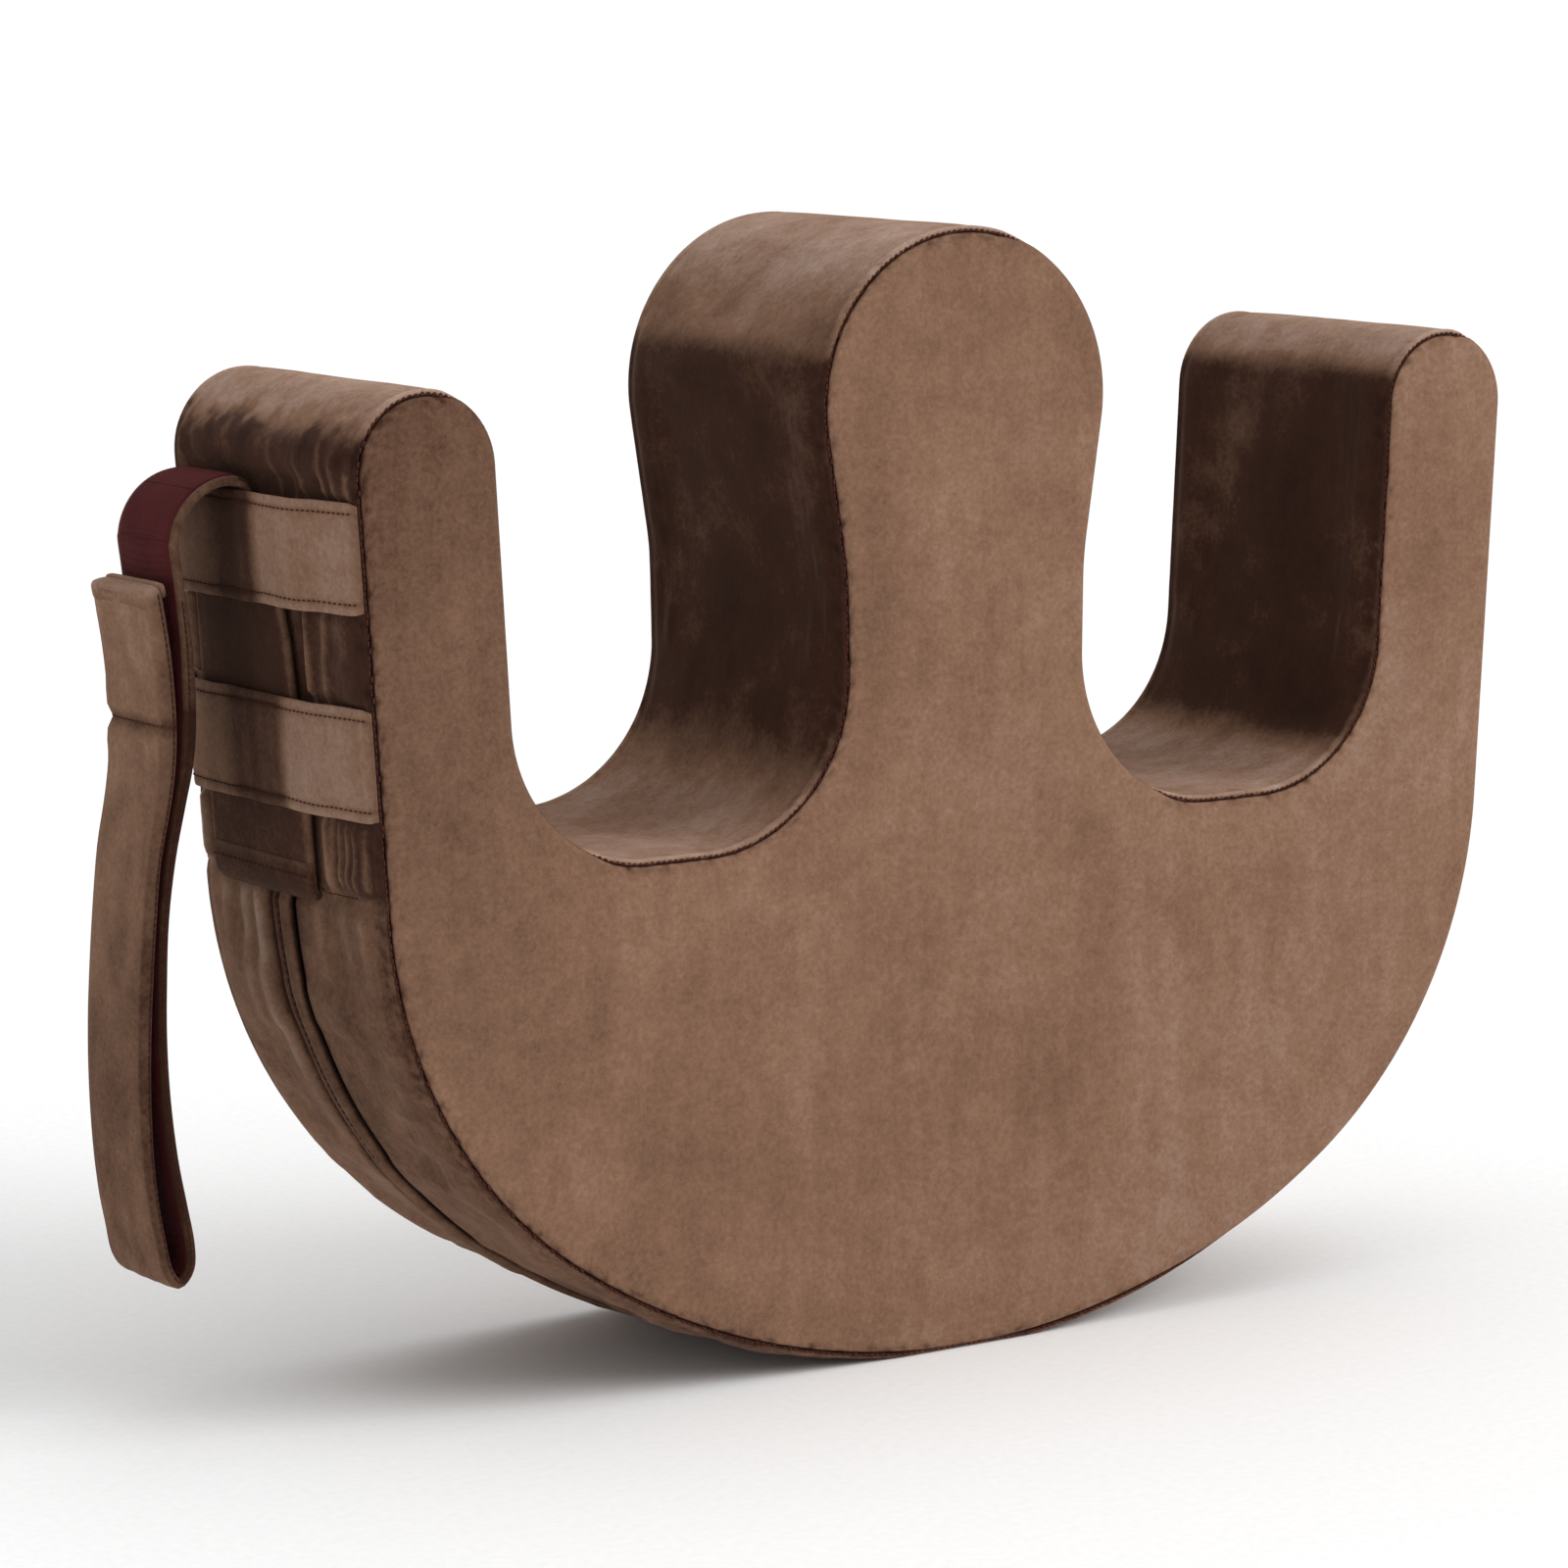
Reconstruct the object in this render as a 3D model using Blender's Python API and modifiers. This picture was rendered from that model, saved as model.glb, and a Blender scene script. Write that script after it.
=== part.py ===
"""Three-prong leg and turning cushion with a rocker base, a zipped cover and a padded strap handle.

Frame: +Z up, the broad front face looks along -Y, the strap handle hangs at -X.
The origin is the centre of the bounding box in X and Y, on the surface the cushion stands on.
"""
import bpy
import bmesh
import math
from mathutils import Matrix, Vector

# ---------------------------------------------------------------- driving sizes, in metres
DEPTH = 0.154            # front face to rear face
CENTRE_X = 0.029687       # the body's centre plane; the handle reaches out on the -X side
GAP = 0.0003             # running gap between separate pieces
COVER = 0.0022           # thickness of the band fabric
PANEL = 0.0020           # thickness of the face panels
BOTTOM_R = 0.352         # rocker arc under the cushion
BOTTOM_HALF = 0.60       # half angle of the rocker arc, radians
BOTTOM_STEPS = 14        # facets in half of the rocker arc
SIDE_R = 0.208
TIP = (0.2670, 0.4015, 0.033)
SLOT_OUTER = (0.1625, 0.2985, -0.0655)
SLOT_INNER = (0.1330, 0.3030, -0.0700)
WAIST = (0.2105, 0.3325, -0.1470)
HEAD = (0.0, 0.4165, 0.0740)
CROSS_SEAM_Z = 0.2270    # height of the seam between the upper and the lower band
HANDLE_Y = (0.005, 0.055)
STRAP_HALF = 0.0023      # half of the strap's thickness
PLY = 0.0012             # velvet or lining thickness in the strap
ZIP_Y = 0.0070           # middle of the zip chain
CHANNEL_Y = (-0.0010, 0.0150)

STEP = BOTTOM_HALF / BOTTOM_STEPS
FLAT = BOTTOM_R * (1.0 - math.cos(2.0 * STEP))   # foam flattened where the cushion stands

BROWN = (0.225, 0.130, 0.085, 1.0)
BROWN_DARK = (0.150, 0.085, 0.056, 1.0)
BROWN_LIGHT = (0.270, 0.165, 0.115, 1.0)
BURGUNDY = (0.075, 0.016, 0.020, 1.0)
FOAM = (0.760, 0.700, 0.500, 1.0)
ZIP_BROWN = (0.110, 0.070, 0.050, 1.0)
METAL = (0.430, 0.330, 0.220, 1.0)
THREAD = (0.090, 0.040, 0.030, 1.0)

for old in list(bpy.data.objects):
    bpy.data.objects.remove(old, do_unlink=True)

scene = bpy.context.scene
parts = bpy.data.collections.new("turning_cushion")
cutters = bpy.data.collections.new("cutters")
scene.collection.children.link(parts)
scene.collection.children.link(cutters)


# ---------------------------------------------------------------- the body's outline
def circle_list():
    cx = (BOTTOM_R - SIDE_R) * math.sin(BOTTOM_HALF)
    cz = BOTTOM_R - (BOTTOM_R - SIDE_R) * math.cos(BOTTOM_HALF)
    return [(0.0, BOTTOM_R, BOTTOM_R), (cx, cz, SIDE_R), TIP, SLOT_OUTER, SLOT_INNER, WAIST, HEAD]


CIRCLES = circle_list()
ARC_STEPS = [BOTTOM_STEPS, 14, 18, 10, 7, 9, 12]


def headings():
    """Heading of the outline at each common tangent, from flat along +X at the bottom."""
    out = [0.0]
    for (x0, z0, r0), (x1, z1, r1) in zip(CIRCLES[:-1], CIRCLES[1:]):
        d = math.hypot(x1 - x0, z1 - z0)
        lean = max(-1.0, min(1.0, (r0 - r1) / d))
        out.append(math.atan2(z1 - z0, x1 - x0) + math.asin(lean))
    out.append(math.pi)
    return out


HEADINGS = headings()


def half_outline(inset):
    """Right half of the outline, bottom centre to the head's top, set in by inset."""
    pts = []
    for k, (cx, cz, r) in enumerate(CIRCLES):
        a, b = HEADINGS[k], HEADINGS[k + 1]
        if r > 0.0:
            while b < a - 1e-9:
                b += 2.0 * math.pi
            while b - a > 2.0 * math.pi:
                b -= 2.0 * math.pi
        else:
            while b > a + 1e-9:
                b -= 2.0 * math.pi
            while a - b > 2.0 * math.pi:
                b += 2.0 * math.pi
        for i in range(ARC_STEPS[k] + 1):
            t = a + (b - a) * i / ARC_STEPS[k]
            rr = r - inset
            p = (cx + rr * math.sin(t), cz - rr * math.cos(t))
            # neighbouring arcs can share a point where they touch without a straight run
            if pts and k > 0 and i == 0 and k == 1:
                continue
            pts.append(p)
    return pts


def outline(inset):
    """Closed outline in the body's own x and z, counter-clockwise, from the bottom centre."""
    right = half_outline(inset)
    left = [(-x, z) for x, z in reversed(right[1:-1])]
    full = [(x, max(z, FLAT)) for x, z in right + left]
    return full


COUNT = len(outline(0.0))


def point_at(inset, u):
    """Point at a float index along the outline; indices wrap round the loop."""
    pts = outline(inset)
    base = math.floor(u)
    f = u - base
    x0, z0 = pts[base % COUNT]
    x1, z1 = pts[(base + 1) % COUNT]
    return (x0 + (x1 - x0) * f, z0 + (z1 - z0) * f)


def run_between(inset, u0, u1):
    """Outline points from u0 to u1, both ends included."""
    pts = outline(inset)
    out = [point_at(inset, u0)]
    k = math.floor(u0) + 1
    while k < u1 - 1e-9:
        if k > u0 + 1e-6:
            out.append(pts[k % COUNT])
        k += 1
    out.append(point_at(inset, u1))
    return out


def strip(outer, inner, u0, u1):
    """Closed band cross-section between two insets."""
    return run_between(outer, u0, u1) + list(reversed(run_between(inner, u0, u1)))


def find_u(z, low, high):
    """Float index between low and high where the right side reaches height z."""
    for _ in range(60):
        mid = 0.5 * (low + high)
        if point_at(0.0, mid)[1] < z:
            low = mid
        else:
            high = mid
    return low


def angle_u(theta_deg):
    """Float index on the rocker arc, measured from the bottom, + towards +X."""
    return math.radians(theta_deg) / STEP


def mm_to_u(u, length):
    a = point_at(0.0, u - 0.05)
    b = point_at(0.0, u + 0.05)
    return 0.1 * length / math.hypot(b[0] - a[0], b[1] - a[1])


# ---------------------------------------------------------------- builders
def material(name, colour, rough=0.9, metallic=0.0):
    m = bpy.data.materials.new(name)
    m.use_nodes = True
    bsdf = m.node_tree.nodes["Principled BSDF"]
    bsdf.inputs["Base Color"].default_value = colour
    bsdf.inputs["Roughness"].default_value = rough
    bsdf.inputs["Metallic"].default_value = metallic
    m.diffuse_color = colour
    return m


def solid_mesh(name, pts, low, high):
    """Mesh of a flat outline (local x, y) drawn out along local z from low to high."""
    cu = bpy.data.curves.new(name + "_outline", 'CURVE')
    cu.dimensions = '2D'
    cu.fill_mode = 'BOTH'
    cu.extrude = 0.5 * (high - low)
    sp = cu.splines.new('POLY')
    sp.points.add(len(pts) - 1)
    for p, (x, y) in zip(sp.points, pts):
        p.co = (x, y, 0.0, 1.0)
    sp.use_cyclic_u = True
    tmp = bpy.data.objects.new(name + "_outline", cu)
    cutters.objects.link(tmp)
    bpy.context.view_layer.update()
    dg = bpy.context.evaluated_depsgraph_get()
    me = bpy.data.meshes.new_from_object(tmp.evaluated_get(dg))
    bpy.data.objects.remove(tmp, do_unlink=True)
    me.transform(Matrix.Translation((0.0, 0.0, 0.5 * (low + high))))
    bm = bmesh.new()
    bm.from_mesh(me)
    bmesh.ops.remove_doubles(bm, verts=bm.verts, dist=0.00001)
    bmesh.ops.recalc_face_normals(bm, faces=bm.faces)
    bm.to_mesh(me)
    bm.free()
    me.name = name
    return me


# local (x, y, z) to world: outline in the XZ plane, drawn along +Y
TO_XZ = Matrix(((1, 0, 0, CENTRE_X), (0, 0, 1, 0), (0, 1, 0, -FLAT), (0, 0, 0, 1)))
# outline in the YZ plane, drawn along +X
TO_YZ = Matrix(((0, 0, 1, CENTRE_X), (1, 0, 0, 0), (0, 1, 0, -FLAT), (0, 0, 0, 1)))


def flip_if_inside_out(me):
    bm = bmesh.new()
    bm.from_mesh(me)
    if bm.calc_volume(signed=True) < 0.0:
        bmesh.ops.reverse_faces(bm, faces=bm.faces)
    bm.to_mesh(me)
    bm.free()


def add(name, me, mat, home=parts):
    ob = bpy.data.objects.new(name, me)
    home.objects.link(ob)
    if mat is not None:
        me.materials.clear()
        me.materials.append(mat)
    if home is cutters:
        ob.hide_render = True
        ob.display_type = 'WIRE'
    return ob


def prism(name, pts, y0, y1, mat=None, home=parts, frame=TO_XZ):
    me = solid_mesh(name, pts, y0, y1)
    me.transform(frame)
    flip_if_inside_out(me)
    return add(name, me, mat, home)


def boolean(target, tool, how):
    mod = target.modifiers.new(how.lower(), 'BOOLEAN')
    mod.operation = how
    mod.solver = 'EXACT'
    mod.object = tool
    bpy.context.view_layer.update()
    dg = bpy.context.evaluated_depsgraph_get()
    me = bpy.data.meshes.new_from_object(target.evaluated_get(dg))
    target.modifiers.clear()
    old = target.data
    mats = [m for m in old.materials]
    target.data = me
    me.name = target.name
    me.materials.clear()
    for m in mats:
        me.materials.append(m)
    for poly in me.polygons:
        poly.material_index = 0
    bpy.data.objects.remove(tool, do_unlink=True)


def bevel(ob, width, segments=2):
    mod = ob.modifiers.new("bevel", 'BEVEL')
    mod.width = width
    mod.segments = segments
    mod.limit_method = 'ANGLE'
    mod.angle_limit = math.radians(50)


HALF = DEPTH / 2.0
U_SEAM = find_u(CROSS_SEAM_Z, BOTTOM_STEPS, BOTTOM_STEPS + 14)

# ---------------------------------------------------------------- foam block
foam = prism("foam_core", outline(COVER + GAP), -HALF + PANEL + GAP, HALF - PANEL - GAP,
             material("foam", FOAM, 0.95))
groove = prism("zip_groove", strip(-0.002, 0.0071, angle_u(-34.3), angle_u(34.3)),
               CHANNEL_Y[0] - 0.0055, CHANNEL_Y[1] + 0.0055, home=cutters)
boolean(foam, groove, 'DIFFERENCE')

# ---------------------------------------------------------------- cover: two face panels
prism("front_panel", outline(COVER + GAP), -HALF, -HALF + PANEL, material("front_velvet", BROWN))
prism("rear_panel", outline(COVER + GAP), HALF - PANEL, HALF, material("rear_velvet", BROWN))

# ---------------------------------------------------------------- cover: the side band
u_gap = mm_to_u(U_SEAM, 0.5 * GAP)
prism("upper_band", strip(0.0, COVER, U_SEAM + u_gap, COUNT - U_SEAM - u_gap), -HALF, HALF,
      material("upper_band_velvet", BROWN_DARK))
prism("lower_band_front", strip(0.0, COVER, -U_SEAM + u_gap, U_SEAM - u_gap),
      -HALF, CHANNEL_Y[0], material("lower_band_front_velvet", BROWN_LIGHT))
prism("lower_band_rear", strip(0.0, COVER, -U_SEAM + u_gap, U_SEAM - u_gap),
      CHANNEL_Y[1], HALF, material("lower_band_rear_velvet", BROWN))
FLAP_END = 27.6
prism("zip_flap", strip(0.0, 0.0020, -U_SEAM + u_gap, angle_u(FLAP_END)),
      CHANNEL_Y[0] + GAP, CHANNEL_Y[1] - GAP, material("zip_flap_velvet", BROWN_LIGHT))
prism("zip_end_strip", strip(0.0, COVER, angle_u(34.3), U_SEAM - u_gap),
      CHANNEL_Y[0] + GAP, CHANNEL_Y[1] - GAP, material("zip_end_velvet", BROWN))

# ---------------------------------------------------------------- zip fastener, under the flap
tape = material("zip_tape", ZIP_BROWN)
prism("zip_tape_front", strip(0.0050, 0.0056, angle_u(-34.0), angle_u(34.0)),
      ZIP_Y - 0.0125, ZIP_Y - 0.0021, tape)
prism("zip_tape_rear", strip(0.0050, 0.0056, angle_u(-34.0), angle_u(34.0)),
      ZIP_Y + 0.0021, ZIP_Y + 0.0125, material("zip_tape_b", ZIP_BROWN))
prism("zip_coil_front", strip(0.0045, 0.0061, angle_u(-32.2), angle_u(31.0)),
      ZIP_Y - 0.0018, ZIP_Y - 0.00015, material("zip_coil_a", BROWN_DARK, 0.5))
prism("zip_coil_rear", strip(0.0045, 0.0061, angle_u(-32.2), angle_u(31.0)),
      ZIP_Y + 0.00015, ZIP_Y + 0.0018, material("zip_coil_b", BROWN_DARK, 0.5))
prism("zip_top_stop", strip(0.0043, 0.0063, angle_u(31.1), angle_u(31.6)),
      ZIP_Y - 0.0018, ZIP_Y + 0.0018, material("stop_metal_a", METAL, 0.35, 1.0))
prism("zip_bottom_stop", strip(0.0043, 0.0063, angle_u(-32.8), angle_u(-32.3)),
      ZIP_Y - 0.0018, ZIP_Y + 0.0018, material("stop_metal_b", METAL, 0.35, 1.0))


def sector(name, d0, d1, t0, t1, y0, y1, mat=None, home=parts):
    """A small piece that follows the rocker arc between two insets and two angles."""
    def on(d, t):
        a = math.radians(t)
        return ((BOTTOM_R - d) * math.sin(a), BOTTOM_R - (BOTTOM_R - d) * math.cos(a))
    n = 4
    out = [on(d0, t0 + (t1 - t0) * i / n) for i in range(n + 1)]
    back = [on(d1, t1 + (t0 - t1) * i / n) for i in range(n + 1)]
    return prism(name, out + back, y0, y1, mat, home)


# the slider rides outside the coils; two ears carry the pull tab
SLIDER_T = 29.5
slider = sector("zip_slider", 0.0034, 0.0042, SLIDER_T - 0.8, SLIDER_T + 0.8,
                ZIP_Y - 0.0040, ZIP_Y + 0.0040, material("slider_metal", METAL, 0.3, 1.0))
for y0, y1 in ((ZIP_Y - 0.0039, ZIP_Y - 0.0021), (ZIP_Y + 0.0021, ZIP_Y + 0.0039)):
    boolean(slider, sector("flange", 0.0038, 0.0047, SLIDER_T - 0.74, SLIDER_T + 0.74, y0, y1,
                           home=cutters), 'UNION')
for y0, y1 in ((ZIP_Y - 0.0020, ZIP_Y - 0.0011), (ZIP_Y + 0.0011, ZIP_Y + 0.0020)):
    boolean(slider, sector("ear", 0.0023, 0.0037, SLIDER_T + 0.25, SLIDER_T + 0.55, y0, y1,
                           home=cutters), 'UNION')
HINGE_T = SLIDER_T + 0.4
tab = sector("zip_pull_tab", 0.0023, 0.0031, HINGE_T + 0.2, HINGE_T + 3.3,
             ZIP_Y - 0.0030, ZIP_Y + 0.0030, material("tab_metal", METAL, 0.3, 1.0))
boolean(tab, sector("tongue", 0.00235, 0.00305, HINGE_T - 0.08, HINGE_T + 0.3,
                    ZIP_Y - 0.0008, ZIP_Y + 0.0008, home=cutters), 'UNION')

# ---------------------------------------------------------------- the wall the strap lies on
H_WALL = HEADINGS[2]
WALL_LOW = (CIRCLES[1][0] + SIDE_R * math.sin(H_WALL), CIRCLES[1][1] - SIDE_R * math.cos(H_WALL))
WALL_TOP = (TIP[0] + TIP[2] * math.sin(H_WALL), TIP[1] - TIP[2] * math.cos(H_WALL))
LEAN = math.atan2(WALL_TOP[0] - WALL_LOW[0], WALL_TOP[1] - WALL_LOW[1])


def wall_x(z):
    """Left wall's x at height z on its straight stretch."""
    f = (z - WALL_LOW[1]) / (WALL_TOP[1] - WALL_LOW[1])
    return -(WALL_LOW[0] + (WALL_TOP[0] - WALL_LOW[0]) * f)


# ---------------------------------------------------------------- keeper loops across the band
def smooth(t):
    t = max(0.0, min(1.0, t))
    return t * t * (3.0 - 2.0 * t)


def keeper(name, z0, z1, rise, mat):
    """Fabric loop sewn in at both face seams, standing off the wall over the strap."""
    front, rear = -HALF + 0.0003, HALF - 0.0003
    flat0, flat1 = -0.022, 0.064
    n = 12
    ys = [front + (flat0 - front) * i / n for i in range(n + 1)]
    ys += [flat0 + (flat1 - flat0) * i / 4 for i in range(1, 4)]
    ys += [flat1 + (rear - flat1) * i / 7 for i in range(8)]
    inner = []
    for y in ys:
        if y < flat0:
            up = smooth((y - front) / (flat0 - front))
        elif y > flat1:
            up = smooth((rear - y) / (rear - flat1))
        else:
            up = 1.0
        inner.append((y, GAP + (rise - GAP) * up))
    outer = [(y, h + 0.0018) for y, h in inner]
    x0 = wall_x(z0)
    up_dir = Vector((-math.sin(LEAN), 0.0, math.cos(LEAN)))
    out_dir = Vector((-math.cos(LEAN), 0.0, -math.sin(LEAN)))
    base = Vector((CENTRE_X + x0, 0.0, z0 - FLAT))
    frame = Matrix(((0.0, out_dir.x, up_dir.x, base.x), (1.0, 0.0, 0.0, 0.0),
                    (0.0, out_dir.z, up_dir.z, base.z), (0.0, 0.0, 0.0, 1.0)))
    length = (z1 - z0) / math.cos(LEAN)
    return prism(name, inner + list(reversed(outer)), 0.0, length, mat, frame=frame)


keeper("keeper_upper", 0.345, 0.391, 0.0078, material("keeper_upper_velvet", BROWN_LIGHT))
keeper("keeper_lower", 0.260, 0.307, 0.0056, material("keeper_lower_velvet", BROWN_LIGHT))

# ---------------------------------------------------------------- strap path, all in body x and z
STAND = GAP + STRAP_HALF          # strap centre line off the wall
BEND_A = 0.009                    # tight bend over the upper keeper
BEND_B = 0.027                    # wide bend outwards
EXIT_Z = 0.386


def bend_a(psi):
    return (CA[0] + BEND_A * math.cos(psi), CA[1] + BEND_A * math.sin(psi))


def bend_b(psi):
    return (CB[0] + BEND_B * math.cos(psi), CB[1] + BEND_B * math.sin(psi))


EXIT = (wall_x(EXIT_Z) - STAND * math.cos(LEAN), EXIT_Z - STAND * math.sin(LEAN))
CA = (EXIT[0] - BEND_A * math.cos(LEAN), EXIT[1] - BEND_A * math.sin(LEAN))
CB = (CA[0], CA[1] + BEND_A - BEND_B)
HINGES = [math.radians(47.0), math.radians(105.0), math.radians(145.0)]


def bend_at(psi):
    return bend_a(psi) if psi <= math.pi / 2.0 else bend_b(psi)


def bend_run(psi0, psi1, step=8.0):
    n = max(2, int(math.ceil(math.degrees(psi1 - psi0) / step)))
    marks = [psi0 + (psi1 - psi0) * i / n for i in range(n + 1)]
    return [bend_at(p) for p in marks], [(-math.sin(p), math.cos(p)) for p in marks]


def ribbon(points, headings_, right0, right1):
    """Closed cross-section between two offsets to the right of the path."""
    a = []
    b = []
    for k, (p, h) in enumerate(zip(points, headings_)):
        r0 = right0[k] if isinstance(right0, list) else right0
        r1 = right1[k] if isinstance(right1, list) else right1
        a.append((p[0] + h[1] * r0, p[1] - h[0] * r0))
        b.append((p[0] + h[1] * r1, p[1] - h[0] * r1))
    return a + list(reversed(b))


def trimmed(points, headings_, start, end):
    """Path with its two end points moved along it by start and end."""
    pts = list(points)
    if start:
        h = headings_[0]
        pts[0] = (pts[0][0] + h[0] * start, pts[0][1] + h[1] * start)
    if end:
        h = headings_[-1]
        pts[-1] = (pts[-1][0] - h[0] * end, pts[-1][1] - h[1] * end)
    return pts


# fixed run: sewn at the cross seam, up behind both keepers, into the tight bend
anchor_pts = []
anchor_dir = []
A0 = math.asin((0.2115 - CIRCLES[1][1]) / SIDE_R)
A1 = H_WALL - math.pi / 2.0
for i in range(7):
    a = A0 + (A1 - A0) * i / 6
    anchor_pts.append((-(CIRCLES[1][0] + (SIDE_R + STAND) * math.cos(a)),
                       CIRCLES[1][1] + (SIDE_R + STAND) * math.sin(a)))
    anchor_dir.append((math.sin(a), math.cos(a)))
bend_pts, bend_dir = bend_run(LEAN, HINGES[0], 7.0)
anchor_pts += bend_pts
anchor_dir += bend_dir
anchor_pts = trimmed(anchor_pts, anchor_dir, 0.0, 0.5 * GAP)

TAPER = [(-0.0240, 0.190), (-0.0240, 0.262), (-0.0170, 0.330), (-0.0090, 0.362), (0.005, 0.384),
         (0.005, 0.420), (0.055, 0.420), (0.055, 0.384), (0.0600, 0.345), (0.0610, 0.190)]


def anchor_layer(name, r0, r1, mat):
    ob = prism(name, ribbon(anchor_pts, anchor_dir, r0, r1), -0.05, 0.075, mat)
    boolean(ob, prism("taper", TAPER, -0.4, -0.2, home=cutters, frame=TO_YZ), 'INTERSECT')
    return ob


anchor_layer("strap_lining", STRAP_HALF - PLY, STRAP_HALF, material("burgundy_a", BURGUNDY))
anchor_layer("strap_padding", -STRAP_HALF + PLY + GAP, STRAP_HALF - PLY - GAP,
             material("padding_a", FOAM, 0.95))
anchor_layer("strap_velvet", -STRAP_HALF, -STRAP_HALF + PLY, material("strap_velvet_a", BROWN))

# folded hem over the strap's sewn end
hem_pts = anchor_pts[0:2]
hem_pts = [anchor_pts[0],
           (anchor_pts[0][0] + anchor_dir[0][0] * 0.013, anchor_pts[0][1] + anchor_dir[0][1] * 0.013)]
prism("strap_end_hem", ribbon(hem_pts, [anchor_dir[0], anchor_dir[0]],
                              -STRAP_HALF - GAP - 0.0016, -STRAP_HALF - GAP),
      -0.0235, 0.0605, material("hem_velvet", BROWN))

# two free links of the strap, split at the bend's flex lines
for k in (0, 1):
    pts, dirs = bend_run(HINGES[k], HINGES[k + 1])
    pts = trimmed(pts, dirs, 0.5 * GAP, 0.5 * GAP)
    n = k + 1
    prism("link_%d_lining" % n, ribbon(pts, dirs, 0.5 * GAP, STRAP_HALF), HANDLE_Y[0], HANDLE_Y[1],
          material("burgundy_link_%d" % n, BURGUNDY))
    prism("link_%d_velvet" % n, ribbon(pts, dirs, -STRAP_HALF, -0.5 * GAP), HANDLE_Y[0], HANDLE_Y[1],
          material("velvet_link_%d" % n, BROWN))

# ---------------------------------------------------------------- the hanging handle
# centre line and half thickness from the last flex line, down, round the loop and up to the rim
HANG = [(-0.3379, 0.350, 0.0023), (-0.3373, 0.325, 0.0023), (-0.3363, 0.300, 0.0023),
        (-0.3364, 0.280, 0.0023), (-0.3389, 0.262, 0.0023), (-0.3427, 0.240, 0.0023),
        (-0.3459, 0.215, 0.0023), (-0.3474, 0.190, 0.0023), (-0.3480, 0.165, 0.0023),
        (-0.3470, 0.140, 0.0023), (-0.3443, 0.115, 0.0023), (-0.3405, 0.094, 0.0024),
        (-0.3375, 0.078, 0.0024), (-0.3378, 0.067, 0.0025), (-0.3432, 0.0612, 0.0026),
        (-0.3482, 0.0675, 0.0026), (-0.3508, 0.080, 0.0024), (-0.3535, 0.095, 0.0024),
        (-0.3555, 0.115, 0.0025), (-0.3564, 0.140, 0.0028), (-0.3560, 0.165, 0.0031),
        (-0.3545, 0.190, 0.0032), (-0.3524, 0.215, 0.0032), (-0.3496, 0.240, 0.0032),
        (-0.3454, 0.262, 0.0032), (-0.3432, 0.280, 0.0032), (-0.3430, 0.300, 0.0032),
        (-0.3452, 0.325, 0.0032), (-0.3492, 0.350, 0.0034)]


def curve_through(knots, per_span):
    """Catmull-Rom curve through the knots; every knot is kept."""
    out = []
    n = len(knots)
    for i in range(n - 1):
        p0 = knots[max(i - 1, 0)]
        p1 = knots[i]
        p2 = knots[i + 1]
        p3 = knots[min(i + 2, n - 1)]
        for s in range(per_span):
            t = s / per_span
            row = []
            for c in range(len(p1)):
                row.append(0.5 * (2 * p1[c] + (p2[c] - p0[c]) * t
                                  + (2 * p0[c] - 5 * p1[c] + 4 * p2[c] - p3[c]) * t * t
                                  + (3 * p1[c] - p0[c] - 3 * p2[c] + p3[c]) * t * t * t))
            out.append(tuple(row))
    out.append(knots[-1])
    return out


pts_b, dir_b = bend_run(HINGES[2], math.pi)
knots = [(p[0], p[1], STRAP_HALF) for p in pts_b] + HANG
loop = [(p[0], p[1], STRAP_HALF) for p in pts_b[:-1]]
loop += curve_through(knots[len(pts_b) - 2:], 2)[2:]
loop_pts = [(p[0], p[1]) for p in loop]
loop_half = [p[2] for p in loop]
loop_dir = []
for i in range(len(loop_pts)):
    a = loop_pts[max(i - 1, 0)]
    b = loop_pts[min(i + 1, len(loop_pts) - 1)]
    d = math.hypot(b[0] - a[0], b[1] - a[1])
    loop_dir.append(((b[0] - a[0]) / d, (b[1] - a[1]) / d))
loop_dir[0] = dir_b[0]
loop_pts = trimmed(loop_pts, loop_dir, 0.5 * GAP, 0.0)

prism("handle_lining", ribbon(loop_pts, loop_dir, [h - PLY for h in loop_half], loop_half),
      HANDLE_Y[0], HANDLE_Y[1], material("burgundy_handle", BURGUNDY))
prism("handle_padding", ribbon(loop_pts, loop_dir, [-h + PLY + GAP for h in loop_half],
                               [h - PLY - GAP for h in loop_half]),
      HANDLE_Y[0] + 0.0015, HANDLE_Y[1] - 0.0015, material("padding_handle", FOAM, 0.95))
prism("handle_velvet", ribbon(loop_pts, loop_dir, [-h for h in loop_half],
                              [-h + PLY for h in loop_half]),
      HANDLE_Y[0], HANDLE_Y[1], material("velvet_handle", BROWN_LIGHT))

# stitched bar where the loop's end is sewn back on to the strap, and the turned-in rim above it
BAR_Z = 0.2950


def x_on_loop(z, side):
    """Centre-line x and half thickness at height z: side 0 is the inner run, 1 the outer run."""
    half = len(loop_pts) // 2
    ids = range(0, half) if side == 0 else range(half, len(loop_pts) - 1)
    for i in ids:
        z0, z1 = loop_pts[i][1], loop_pts[i + 1][1]
        if min(z0, z1) <= z <= max(z0, z1) and z0 != z1:
            f = (z - z0) / (z1 - z0)
            return (loop_pts[i][0] + (loop_pts[i + 1][0] - loop_pts[i][0]) * f, loop_half[i])
    return None


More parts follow.
